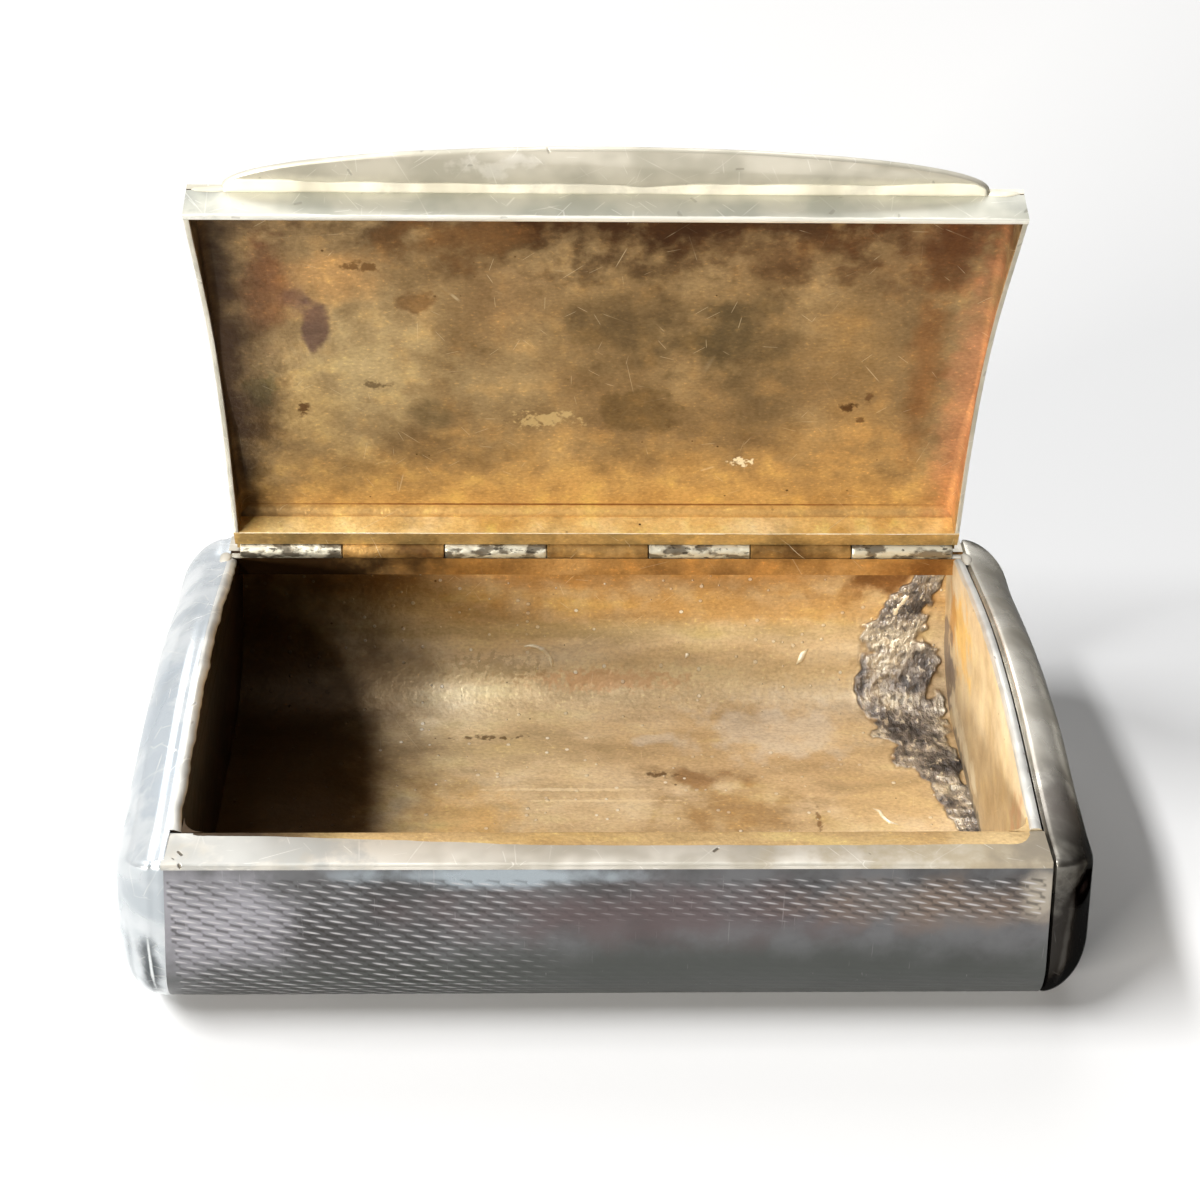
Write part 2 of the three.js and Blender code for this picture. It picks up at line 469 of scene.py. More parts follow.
@dataclass
class Coat:
    """A material under construction: its tree, its place in mm and the sockets that layers build on."""

    material: Material
    tree: bpy.types.NodeTree
    place: Socket
    colour: Socket | str
    rough: Socket | float
    metal: Socket | float
    height: Socket | None = None

    def noise(self, size: float, detail: float = 3.0, stretch: Point = (1, 1, 1), turn: float = 0.0,
              seed: float = 0.0) -> Socket:
        """Noise whose features have a real size.

        Args:
            size: Width of a feature in mm.
            detail: Finer octaves.
            stretch: How much longer features are along X, Y and Z.
            turn: Turn of the stretched direction about Z, in degrees.
            seed: Shifts the noise.

        Returns:
            The noise's value.
        """
        place = add(self.tree, "Mapping", {
            "Vector": self.place, "Location": (seed, seed, seed),
            "Rotation": (0, 0, math.radians(turn)), "Scale": tuple(1 / s for s in stretch)})
        return add(self.tree, "TexNoise", {
            "Vector": place.outputs[0], "Scale": 1 / size, "Detail": detail, "Roughness": 0.55}).outputs[0]

    def share(self, value: Socket, low: float, high: float, start: float = 0.0, end: float = 1.0,
              within: Socket | None = None) -> Socket:
        """How far a layer covers each place: a pattern's value, smoothly mapped, inside another layer.

        Args:
            value: The pattern.
            low: Value that gives start.
            high: Value that gives end.
            start: Result at low.
            end: Result at high.
            within: Share of another layer that it keeps to.

        Returns:
            The share.
        """
        share = add(self.tree, "MapRange", {
            "Value": value, "From Min": low, "From Max": high, "To Min": start, "To Max": end},
            interpolation_type="SMOOTHSTEP").outputs[0]
        if within is None:
            return share
        return add(self.tree, "Math", {0: share, 1: within}, operation="MULTIPLY").outputs[0]

    def cover(self, share: Socket, colour: Any, dull: float = 0.0, shine: float = 0.0,
              blend: str = "MIX") -> None:
        """Lays a colour over the coat.

        Args:
            share: Where it lies.
            colour: A hex colour or a socket.
            dull: What it adds to the roughness where it lies.
            shine: What it adds there to the share that shines as metal.
            blend: How it mixes with what is under it.
        """
        mix = add(self.tree, "Mix", {0: share, 6: self.colour, 7: colour},
                  data_type="RGBA", blend_type=blend)
        self.colour = mix.outputs[2]
        if dull:
            self.rough = add(self.tree, "Math", {0: share, 1: dull, 2: self.rough},
                             operation="MULTIPLY_ADD").outputs[0]
        if shine:
            self.metal = add(self.tree, "Math", {0: share, 1: shine, 2: self.metal},
                             operation="MULTIPLY_ADD", use_clamp=True).outputs[0]

    def dots(self, spacing: float, radius: float, chance: float, seed: float,
             within: Socket | None = None) -> Socket:
        """Scattered round dots.

        Args:
            spacing: Space between places where a dot may lie, in mm.
            radius: Radius of the largest dot in mm.
            chance: Share of the places that have one.
            seed: Shifts the scatter.
            within: Share of another layer that they keep to.

        Returns:
            A share that is 1 inside a dot.
        """
        place = add(self.tree, "VectorMath", {0: self.place, 1: (seed, seed, seed)}, operation="ADD")
        cells = add(self.tree, "TexVoronoi", {"Vector": place.outputs[0], "Scale": 1 / spacing})
        pick = add(self.tree, "SeparateColor", {0: cells.outputs["Color"]})
        size = self.share(pick.outputs[0], 1 - chance, 1.0, 0.0, radius / spacing)
        edge = add(self.tree, "Math", {0: size, 1: cells.outputs["Distance"]}, operation="SUBTRACT")
        return self.share(edge.outputs[0], 0.0, 0.06, within=within)

    def scratches(self, cell: float, length: float, width: float, seed: float,
                  within: Socket | None = None) -> Socket:
        """Straight scratches at random angles, where thin discs cut the surface.

        Args:
            cell: Space for each scratch in mm.
            length: Length of the longest in mm.
            width: Width of a scratch in mm.
            seed: Shifts the scratches.
            within: Share of another layer that they keep to.

        Returns:
            A share that is 1 on a scratch.
        """
        place = add(self.tree, "VectorMath", {0: self.place, 1: (seed, seed, seed)}, operation="ADD")
        cells = add(self.tree, "TexVoronoi", {"Vector": place.outputs[0], "Scale": 1 / cell})
        away = add(self.tree, "VectorMath", {0: place.outputs[0], 1: cells.outputs["Position"]},
                   operation="SUBTRACT")
        lean = add(self.tree, "VectorMath", {0: cells.outputs["Color"], 1: (0.5, 0.5, 0.5)},
                   operation="SUBTRACT")
        facing = add(self.tree, "VectorMath", {0: lean.outputs[0]}, operation="NORMALIZE")
        off = add(self.tree, "VectorMath", {0: away.outputs[0], 1: facing.outputs[0]},
                  operation="DOT_PRODUCT")
        aside = add(self.tree, "Math", {0: off.outputs["Value"]}, operation="ABSOLUTE")
        reach = add(self.tree, "VectorMath", {0: away.outputs[0]}, operation="LENGTH")
        line = self.share(aside.outputs[0], 0.7 * width, 0.2 * width, within=within)
        return self.share(reach.outputs["Value"], length / 2, length / 3, within=line)

    def raise_by(self, share: Socket, amount: float) -> None:
        """Adds a share, times an amount in mm, to the coat's height."""
        self.height = add(self.tree, "Math", {0: share, 1: amount, 2: self.height or 0.0},
                          operation="MULTIPLY_ADD").outputs[0]

    def blotch(self, stains: Sequence[Stain], size: float, seed: float) -> None:
        """Lays stains over the coat.

        Args:
            stains: The stains, from the lowest up.
            size: Size of the breaks in their edges in mm.
            seed: Shifts the breaks.
        """
        edge = self.share(self.noise(size, detail=8.0, seed=seed), 0.28, 0.72)
        for stain in stains:
            away = add(self.tree, "VectorMath", {0: self.place, 1: stain.centre}, operation="SUBTRACT")
            share = add(self.tree, "VectorMath", {0: away.outputs[0], 1: stain.radii}, operation="DIVIDE")
            reach = add(self.tree, "VectorMath", {0: share.outputs[0]}, operation="LENGTH")
            ragged = add(self.tree, "Math", {0: edge, 1: 1.5 * stain.ragged, 2: reach.outputs[1]},
                         operation="MULTIPLY_ADD")
            outer = 1 + 0.75 * stain.ragged
            mask = self.share(ragged.outputs[0], outer, outer - stain.soft, 0.0, stain.strength)
            self.cover(mask, stain.colour, stain.dull, stain.shine)

    def close(self, film: float = 0.5, edge: str = "#ffffff") -> Material:
        """Joins the coat to its shader.

        Args:
            film: How much the part that is not metal shines.
            edge: Tint of the metal where it is seen at a slant.

        Returns:
            The finished material.
        """
        inputs = {"Base Color": self.colour, "Roughness": self.rough, "Metallic": self.metal,
                  "Specular IOR Level": film, "Specular Tint": edge}
        if self.height is not None:
            bump = add(self.tree, "Bump", {"Height": self.height, "Distance": MM, "Strength": 1.0})
            inputs["Normal"] = bump.outputs[0]
        shader = add(self.tree, "BsdfPrincipled", inputs)
        add(self.tree, "OutputMaterial", {"Surface": shader.outputs[0]})
        return self.material


def start_coat(name: str, colour: str, rough: float, metal: float, body: Body = Body.BOX) -> Coat:
    """Starts a material whose place is read in mm, for the lid as it lies shut.

    Args:
        name: The material's name.
        colour: Its first colour.
        rough: Its first roughness.
        metal: Its first share that shines as metal.
        body: The body that the piece rides on.

    Returns:
        The coat.
    """
    material = bpy.data.materials.new(name)
    material.use_nodes = True
    tree = material.node_tree
    tree.nodes.clear()
    turn = math.radians(SIZES.open_angle) if body is Body.LID else 0.0
    axis = Vector(SIZES.axis)
    shift = axis - Matrix.Rotation(turn, 3, "X") @ axis
    source = add(tree, "TexCoord")
    place = add(tree, "Mapping", {
        "Vector": source.outputs["Object"], "Location": shift, "Rotation": (turn, 0, 0),
        "Scale": (1 / MM, 1 / MM, 1 / MM)})
    return Coat(material, tree, place.outputs[0], colour, rough, metal)


@dataclass(frozen=True)
class Gilding:
    """Fire gilding on silver: soft mottled gold, browned by tarnish, with fine scuffs and specks, and
    painted shade where given.

    Attributes:
        name: The material's name.
        tones: Dark, middle and light tones of the mottling.
        stains: Placed blotches.
        shade: Painted shade: placed blotches, laid over the specks and scuffs, that darken where shade
            falls.
        scuffs: Share of the surface that bright scuffs may cover.
        specks: Strength of the pale specks.
        body: The body that it lies on.
        cloud: Size of the mottling in mm.
        rough: Roughness of clean gilding.
        metal: Share that still shines as metal, the rest being a dull film.
        mottling: Strength of the small blotches.
        rub: Strength of the fine rubbed texture.
        drawn: How much longer the mottling is along X, Y and Z.
        crusted: Whether the mesh carries corroded crust.
    """

    name: str
    tones: tuple[str, str, str]
    stains: tuple[Stain, ...] = ()
    shade: tuple[Stain, ...] = ()
    scuffs: float = 0.5
    specks: float = 0.0
    body: Body = Body.BOX
    cloud: float = 10.0
    rough: float = 0.45
    metal: float = 0.4
    mottling: float = 0.4
    rub: float = 0.25
    drawn: Point = (1.0, 1.0, 1.0)
    crusted: bool = False

    def material(self) -> Material:
        """Builds the gilding's nodes.

        Returns:
            The material.
        """
        dark, middle, light = self.tones
        coat = start_coat(self.name, middle, self.rough, self.metal, self.body)
        cloud = coat.noise(self.cloud, detail=7.0, stretch=self.drawn)
        ramp = add(coat.tree, "ValToRGB", {0: cloud}, stops=((0.32, dark), (0.5, middle), (0.68, light)))
        coat.colour = ramp.outputs[0]
        coat.blotch([stain for stain in self.stains if min(stain.radii) >= FINE_STAIN], 2.6, 17.0)
        mottle = coat.noise(2.8, detail=8.0, stretch=self.drawn, seed=61.0)
        blots = coat.share(mottle, 0.46, 0.72, 0.0, self.mottling)
        coat.cover(blots, "#8f8069", dull=0.06, blend="MULTIPLY")
        coat.cover(coat.share(mottle, 0.5, 0.3, 0.0, self.mottling), BRIGHTER, blend="OVERLAY")
        # The burnisher's marks are finer in life, and drawn as coarse as they need to be to show
        rubbed = coat.noise(0.24, detail=4.0, stretch=(1.6, 1, 1), turn=12.0, seed=41.0)
        coat.cover(coat.share(rubbed, 0.42, 0.7, 0.0, self.rub), "#a99a82", blend="MULTIPLY")
        coat.cover(coat.share(rubbed, 0.42, 0.25, 0.0, 2 * self.rub), BRIGHTER, blend="OVERLAY")
        coat.blotch([stain for stain in self.stains if min(stain.radii) < FINE_STAIN], 0.6, 67.0)
        patches = coat.share(coat.noise(7.0, detail=3.0, seed=71.0), 0.45, 0.6)
        worn = coat.share(patches, 0.0, 1.0, 0.1 * self.scuffs, self.scuffs)
        for scratch in SCUFFS:
            scuff = coat.scratches(*scratch, within=worn)
            coat.cover(scuff, SCUFF_TONE, dull=-0.05)
            coat.raise_by(scuff, -0.015)
        coat.cover(coat.dots(1.1, 0.16, 0.25, 5.0, within=patches), "#5e4122", dull=0.1)
        if self.specks:
            specks = coat.dots(0.9, 0.22, 0.6 * self.specks, 9.0)
            gathered = add(coat.tree, "Math", {0: specks, 1: coat.share(patches, 0.0, 1.0, 0.4, 1.0)},
                           operation="MULTIPLY")
            coat.cover(gathered.outputs[0], "#fff6e2", dull=0.1)
            coat.raise_by(specks, 0.1)
        # Painted shade goes on last, over the specks and scuffs
        coat.blotch(self.shade, 2.6, 25.0)
        if self.crusted:
            self.corrode(coat)
        coat.raise_by(coat.noise(0.5, detail=5.0, seed=5.0), 0.05)
        coat.raise_by(coat.noise(2.0, detail=3.0, seed=85.0), 0.12)
        return coat.close(film=0.2)

    def corrode(self, coat: Coat) -> None:
        """Lays the corroded crust where the mesh says it stands: brown rim, then wrinkled grey silver with
        painted glints on its folds.

        Args:
            coat: The coat so far.
        """
        share = add(coat.tree, "Attribute", attribute_name=CRUST).outputs["Fac"]
        coat.cover(coat.share(share, 0.02, 0.35, 0.0, 0.55), "#7d5a30", dull=0.05)
        tone = coat.noise(3.0, detail=3.0, seed=91.0)
        ramp = add(coat.tree, "ValToRGB", {0: tone}, stops=(
            (0.36, "#57575b"), (0.46, "#8f8c8b"), (0.54, "#bab4ab"), (0.64, "#e4dece")))
        core = coat.share(share, 0.25, 0.6, 0.0, 0.95)
        coat.cover(core, ramp.outputs[0], dull=-0.1, shine=0.3)
        crinkle = coat.noise(0.55, detail=5.0, stretch=(1, 1.7, 1.7), seed=97.0)
        coat.cover(coat.share(crinkle, 0.45, 0.36, 0.0, 0.6, core), "#2e2d2f", dull=0.1)
        # Painted glints on the crests of the folds
        coat.cover(coat.share(crinkle, 0.56, 0.66, 0.0, 0.9, core), "#f2ecdc", dull=-0.05)
        folds = add(coat.tree, "Math", {0: crinkle, 1: core}, operation="MULTIPLY")
        coat.raise_by(folds.outputs[0], 0.45)


@dataclass(frozen=True)
class PolishedSilver:
    """Hand-polished silver: bright, with hazy rubbing marks, hair scratches and a little tarnish.

    Attributes:
        name: The material's name.
        tones: Dull and bright tones.
        stains: Placed tarnish.
        body: The body that it lies on.
        rough: Roughness where it is bright.
        nicks: Strength of small dark nicks.
        scratches: Strength of hair scratches.
        metal: Share that shines as metal, the rest being a film of fine scratches and dried polish.
        edge: Tint where it is seen at a slant.
    """

    name: str
    tones: tuple[str, str]
    stains: tuple[Stain, ...] = ()
    body: Body = Body.BOX
    rough: float = 0.2
    nicks: float = 0.0
    scratches: float = 0.5
    metal: float = 1.0
    edge: str = "#ffffff"

    def material(self) -> Material:
        """Builds the silver's nodes.

        Returns:
            The material.
        """
        coat = start_coat(self.name, self.tones[1], self.rough, self.metal, self.body)
        haze = coat.noise(5.0, detail=2.5)
        hazy = coat.share(haze, 0.38, 0.68)
        coat.cover(hazy, self.tones[0], dull=0.12)
        coat.blotch(self.stains, 2.2, 11.0)
        rubbed = coat.noise(6.0, detail=2.0, seed=3.0)
        worn = coat.share(rubbed, 0.42, 0.6, 0.3 * self.scratches, self.scratches)
        for scratch in HAIRLINES:
            line = coat.scratches(*scratch, within=worn)
            coat.cover(line, "#faf8f0", dull=0.05)
            coat.raise_by(line, -0.01)
        if self.nicks:
            nick = coat.share(coat.scratches(*NICKS), 0.0, 1.0, 0.0, self.nicks)
            coat.cover(nick, "#6d675c", dull=0.15)
            coat.raise_by(nick, -0.05)
        dents = coat.noise(4.0, detail=1.0, seed=23.0)
        coat.raise_by(dents, 0.05)
        return coat.close(edge=self.edge)


@dataclass(frozen=True)
class TurnedSilver:
    """Engine-turned silver: cut grains with bright crests, partly worn and partly painted highlight, tarnish
    in the cuts and a clouded patina.

    Attributes:
        name: The material's name.
        tones: Tarnish in the cuts, plain silver, and the crests, partly worn bright and partly a painted
            highlight.
        stains: Placed patina.
        body: The body that it lies on.
        rough: Roughness of the crests.
    """

    name: str
    tones: tuple[str, str, str]
    stains: tuple[Stain, ...] = ()
    body: Body = Body.BOX
    rough: float = 0.34

    def material(self) -> Material:
        """Builds the turned silver's nodes.

        Returns:
            The material.
        """
        coat = start_coat(self.name, self.tones[1], self.rough, 1.0, self.body)
        cloud = coat.noise(7.0, detail=5.0)
        coat.cover(coat.share(cloud, 0.42, 0.68, 0.0, 0.6), self.tones[0], dull=0.08)
        coat.blotch(self.stains, 3.0, 19.0)
        depth = add(coat.tree, "Attribute", attribute_name=CUT).outputs["Fac"]
        coat.cover(coat.share(depth, 0.66, 1.0, 0.0, 0.7), self.tones[0], dull=0.12)
        # Crests are painted brighter: partly their wear, partly a painted highlight
        crest = coat.share(depth, 0.45, 0.08, 0.0, 0.8)
        coat.cover(crest, self.tones[2], dull=-0.06)
        # Rubbing lines are finer in life, and drawn as coarse as they need to be to show
        rub = coat.noise(0.18, detail=1.0, stretch=(1, 1, 26), seed=29.0)
        line = coat.share(rub, 0.72, 0.8, 0.0, 0.15)
        coat.cover(line, self.tones[2])
        grain = coat.noise(0.25, detail=2.0, seed=37.0)
        coat.raise_by(grain, 0.012)
        return coat.close()


@dataclass(frozen=True)
class CrustedSilver:
    """Dull hinge tube: grey silver under a broken pale crust of dried polish and corrosion."""

    name: str = "dull_silver_tube"
    bare: str = "#8a8272"
    crust: str = "#dcd8c6"
    gaps: str = "#3a342a"

    def material(self) -> Material:
        """Builds the crusted tube's nodes.

        Returns:
            The material.
        """
        coat = start_coat(self.name, self.bare, 0.4, 0.8)
        lump = coat.noise(0.8, detail=6.0, stretch=(2, 1, 1))
        coat.cover(coat.share(lump, 0.44, 0.54), self.crust, dull=0.15)
        pit = coat.noise(0.4, detail=4.0, stretch=(2.5, 1, 1), seed=9.0)
        coat.cover(coat.share(pit, 0.6, 0.66, 0.0, 0.85), self.gaps, dull=0.2)
        coat.raise_by(lump, 0.12)
        return coat.close()


@dataclass(frozen=True)
class DrawnWire:
    """Drawn steel wire: grey, with fine lines along it."""

    name: str = "drawn_steel_wire"
    tone: str = "#77736a"

    def material(self) -> Material:
        """Builds the wire's nodes.

        Returns:
            The material.
        """
        coat = start_coat(self.name, self.tone, 0.35, 1.0)
        # Lines of the draw plate are finer in life, and drawn as coarse as they need to be to show
        line = coat.noise(0.1, detail=2.0, stretch=(40, 1, 1))
        coat.cover(coat.share(line, 0.45, 0.65, 0.0, 0.6), "#a5a198", dull=0.1)
        return coat.close()


# Engine turning


@dataclass(frozen=True)
class Turning:
    """Rows of short slanting grains, each row out of step with the next.

    Attributes:
        grain: Length of a grain in mm.
        line: Space between rows in mm.
        tilt: Fall of a crest along its grain, in rows.
        narrow: Half width of a crest, in rows.
        depth: Depth of a cut in mm.
        worn_level: Share of the depth to which a worn grain is rubbed down.
        slant: Fall of the rows along the box, as a share of its length.
        wander: Reach of the rows' slow waves in mm.
        wander_length: Length of one radian of those waves in mm.
        columns_each: Columns of a grid along each grain.
        rows_each: Rows of a grid across each row of grains.
    """

    grain: float = 2.06
    line: float = 0.6
    tilt: float = 0.55
    narrow: float = 0.3
    depth: float = 0.09
    worn_level: float = 0.58
    slant: float = 0.03
    wander: float = 0.25
    wander_length: float = 8.0
    columns_each: int = 8
    rows_each: int = 5

    def cut(self, along: float, across: float, left: float) -> float:
        """Depth of the cut at a place.

        Args:
            along: Place along the rows in mm.
            across: Place across the rows in mm.
            left: Share of the turning that wear has left.

        Returns:
            A share of the full depth, 0 on a crest and 1 in a cut.
        """
        wave = self.wander * math.sin(along / self.wander_length)
        row = (across - self.slant * along + wave) / self.line
        number = math.floor(row)
        share = (along / self.grain + 0.5 * (number % 2)) % 1.0 - 0.5
        off = row - number - 0.5 - self.tilt * share
        crest = math.exp(-(off / self.narrow) ** 2) * math.cos(math.pi * share) ** 0.5
        return self.worn_level + (1 - crest - self.worn_level) * left

    def columns(self, length: float) -> int:
        """Columns of a grid that show each grain."""
        return round(length / self.grain * self.columns_each)

    def rows(self, length: float) -> int:
        """Rows of a grid that show each row of grains."""
        return round(length / self.line * self.rows_each)


TURNING = Turning()


# Body


@dataclass
class Trough:
    """The bent sheet that makes the front, base and back, turned outside and gilt inside.

    It is drawn in four stretches, to keep each mesh a fair size.

    Attributes:
        sizes: The box's sizes.
        crust_reach: Height of the crust in mm.
        crust_edge: Distances from the crust's middle, over its reach, where it starts and is full.
        plain_end: Plain border at each end in mm.
        plain_top: Distances below the top edge where the plain border ends and is full, in mm.
        worn_along: X where the wear low on the front starts and is full, in mm.
        worn_down: Distances below the top edge where that wear starts and is full, in mm.
        worn_share: Share of the turning that the wear takes.
        rubbed_share: Share that the thumb has taken at the front's middle.
        rubbed_middle: X of that middle in mm.
        rubbed_reach: Its reach along X in mm.
    """

    sizes: BoxSizes = SIZES
    crust_reach: float = 0.3
    crust_edge: Flat = (1.15, 0.55)
    plain_end: float = 0.2
    plain_top: Flat = (1.3, 0.5)
    worn_along: Flat = (-14.0, 6.0)
    worn_down: Flat = (4.8, 7.4)
    worn_share: float = 0.8
    rubbed_share: float = 0.35
    rubbed_middle: float = 2.0
    rubbed_reach: float = 10.0

    def lengths(self) -> list[float]:
        """Where each straight or round part of the section starts and the last one ends.

        Returns:
            Distances along the outside from the top of the front wall, in mm.
        """
        s = self.sizes
        bend = math.pi / 2 * s.corner
        flat = 2 * (s.half_depth - s.corner)
        ends = [0.0]
        for length in (s.front_seat - s.corner, bend, flat, bend, s.back_seat - s.corner):
            ends.append(ends[-1] + length)
        return ends

    def section(self, along: float) -> tuple[Flat, Flat]:
        """The sheet's outside at a distance along it.

        Args:
            along: Distance from the top of the front wall in mm.

        Returns:
            The point and its outward normal, in Y and Z.
        """
        s = self.sizes
        ends = self.lengths()
        centre = s.half_depth - s.corner
        if along <= ends[1]:
            return (-s.half_depth, s.front_seat - along), (-1.0, 0.0)
        if along <= ends[2]:
            angle = (along - ends[1]) / s.corner
            normal = (-math.cos(angle), -math.sin(angle))
            return (-centre + s.corner * normal[0], s.corner * (1 + normal[1])), normal
        if along <= ends[3]:
            return (-centre + along - ends[2], 0.0), (0.0, -1.0)
        if along <= ends[4]:
            angle = (along - ends[3]) / s.corner
            normal = (math.sin(angle), -math.cos(angle))
            return (centre + s.corner * normal[0], s.corner * (1 + normal[1])), normal
        return (s.half_depth, s.corner + along - ends[4]), (1.0, 0.0)

    def wear(self, x: float, along: float) -> float:
        """How much of the turning is left at a place on the outside.

        Args:
            x: Place along the box in mm.
            along: Distance from the top of the front wall in mm.

        Returns:
            A share from 0 to 1.
        """
        ends = self.lengths()
        if abs(x) > self.sizes.plate_outer - self.plain_end:
            return 0.0
        patch = 0.5 + 0.5 * noise.noise(Vector((x / 6, along / 4, 3.0)))
        patch += 0.35 * noise.noise(Vector((x / 1.6, along / 0.9, 7.0)))
        if along < ends[2]:
            worn = smooth(*self.worn_along, x) * smooth(*self.worn_down, along + 1.5 * patch)
            middle = self.rubbed_share * math.exp(-((x - self.rubbed_middle) / self.rubbed_reach) ** 2)
            top = smooth(*self.plain_top, along)
            return (1 - self.worn_share * worn) * (1 - middle) * (0.6 + 0.4 * patch) * (1 - top)
        if along < ends[3]:
            return 0.25 + 0.5 * patch
        return 0.6 + 0.4 * patch

    def crust(self, place: Vector) -> float:
        """How far the corroded crust inside the right end covers a place.

        Args:
            place: A point on the inside in mm.

        Returns:
            A share from 0 to 1.
        """
        if place.x < CRUST_LEFT:
            return 0.0
        nearest = math.inf
        for (start, wide), (end, narrow) in zip(CRUST_SPINE, CRUST_SPINE[1:]):
            along = Vector(end) - Vector(start)
            t = min(1.0, max(0.0, (place - Vector(start)).dot(along) / along.length_squared))
            away = (place - Vector(start) - along * t).length
            nearest = min(nearest, away / (wide + (narrow - wide) * t))
        ragged = 0.5 * noise.noise(place / 2.2) + 0.25 * noise.noise(place / 0.8)
        return smooth(*self.crust_edge, nearest + ragged)

    def wrinkles(self, place: Vector) -> float:
        """Height of the crust's folds at a place, as a share of its full height."""
        fold = abs(noise.noise(place / 1.6)) + 0.4 * abs(noise.noise(place / 0.7 + Vector((7.0, 1.0, 3.0))))
        return max(0.0, 1.0 - 1.3 * fold)

    def build(self) -> None:
        """Draws the stretches, and the flakes of gilding that have lifted inside."""
        outside = TURNED_BODY.material()
        inside = GILT_TROUGH.material()
        ends = self.lengths()
        middle = (ends[2] + ends[3]) / 2
        for name, start, end in (("turned_front", ends[0], ends[2]), ("turned_base_front", ends[2], middle),
                                 ("turned_base_back", middle, ends[3]), ("turned_back", ends[3], ends[5])):
            sheet = Piece(name, Body.BOX, ("body_trough",), Slot.TURNED)
            sheet.make(self.stretch(start, end), (outside, inside))
        lifted = LIFTED_GILT.material()
        for index, flake in enumerate(FLAKES, 1):
            piece = Piece(f"gilding_flake_{index}", Body.BOX, (), Slot.GILT)
            piece.make(self.flake(*flake), (lifted,), sharp=180)

    def flake(self, path: Sequence[Flat], wide: float, tall: float) -> Shape:
        """Draws a lifted flake or a curled scratch on the inside.

        Args:
            path: Its line, as places along the box and along the sheet from the back bend, in mm.
            wide: Half of its width in mm.
            tall: Its height in mm.

        Returns:
            The flake.
        """
        bend = self.lengths()[3]
        line = []
        for x, along in path:
            (y, z), normal = self.section(bend + along)
            inward = Vector((0.0, -normal[0], -normal[1]))
            line.append((Vector((x, y, z)) + inward * self.sizes.sheet, inward))
        sections = []
        for index, (point, inward) in enumerate(line):
            ahead = line[min(index + 1, len(line) - 1)][0] - line[max(index - 1, 0)][0]
            side = ahead.cross(inward).normalized()
            taper = 0.15 + 0.85 * math.sin(math.pi * index / (len(line) - 1)) ** 0.6
            across, up = side * wide * taper, inward * tall * taper
            turns = [math.radians(angle) for angle in range(0, 360, 45)]
            sections.append([point + across * math.cos(turn) + up * math.sin(turn) for turn in turns])
        return loft(sections)

    def stretch(self, start: float, end: float) -> Shape:
        """Draws one stretch of the sheet, with turning outside and crust inside.

        Args:
            start: Where it starts along the outside in mm.
            end: Where it ends.

        Returns:
            The stretch.
        """
        s = self.sizes
        bm = bmesh.new()
        cut = bm.verts.layers.float.new(CUT)
        crust = bm.verts.layers.float.new(CRUST)
        columns = TURNING.columns(2 * s.plate_outer)
        bmesh.ops.create_grid(bm, x_segments=columns, y_segments=TURNING.rows(end - start), size=1.0)
        made = bmesh.ops.extrude_face_region(bm, geom=bm.faces[:], use_keep_orig=True)["geom"]
        inner = {part for part in made if isinstance(part, bmesh.types.BMVert)}
        for vert in bm.verts:
            along = start + (vert.co.y + 1) / 2 * (end - start)
            (y, z), normal = self.section(along)
            x = vert.co.x * (s.plate_outer + s.lean(z))
            if vert in inner:
                place = Vector((x, y - normal[0] * s.sheet, z - normal[1] * s.sheet))
                vert[crust] = self.crust(place)
                inset = s.sheet
                if vert[crust] > 0.0:
                    inset += self.crust_reach * vert[crust] * self.wrinkles(place)
            else:
                share = TURNING.cut(x, along, self.wear(x, along))
                vert[cut] = share
                inset = TURNING.depth * share
            vert.co = (x, y - normal[0] * inset, z - normal[1] * inset)
        for face in bm.faces:
            face.material_index = 1 if all(vert in inner for vert in face.verts) else 0
        bmesh.ops.recalc_face_normals(bm, faces=bm.faces)
        return bm


# Solder beside the ends of the hinge, as a middle at the right end and a reach in mm
BACK_SOLDER = ((33.6, 18.9, 17.7), (0.5, 1.0, 0.16))

# How far wear waves the inner edges of the end plates, in mm
PLATE_WEAR = {End.LEFT: 0.34, End.RIGHT: 0.12}

# Edge profiles of the end plates, as places across the edge and drops from its top in mm
PLATE_EDGES = {
    End.LEFT: ((0.0, 0.34), (0.1, 0.2), (0.35, 0.1), (0.62, 0.0), (0.95, 0.0), (1.1, 0.03)),
    End.RIGHT: ((0.0, 0.22), (0.12, 0.06), (0.3, 0.0), (0.7, 0.0), (0.92, 0.1), (1.0, 0.4)),
}

# Rings over the crown of a cap, as shares of its size
CROWN_RINGS = (0.85, 0.6, 0.3, 0.08)

# Mouths of the caps, as places along the box and insets in mm: a bead at the left, a groove at the right
CAP_MOUTHS = {
    End.LEFT: ((-0.25, 0.04), (-0.18, 0.01), (0.05, 0.0), (0.25, 0.03), (0.45, 0.1), (0.8, 0.14)),
    End.RIGHT: ((0.0, 0.4), (0.14, 0.32), (0.26, 0.08), (0.4, 0.03)),
}


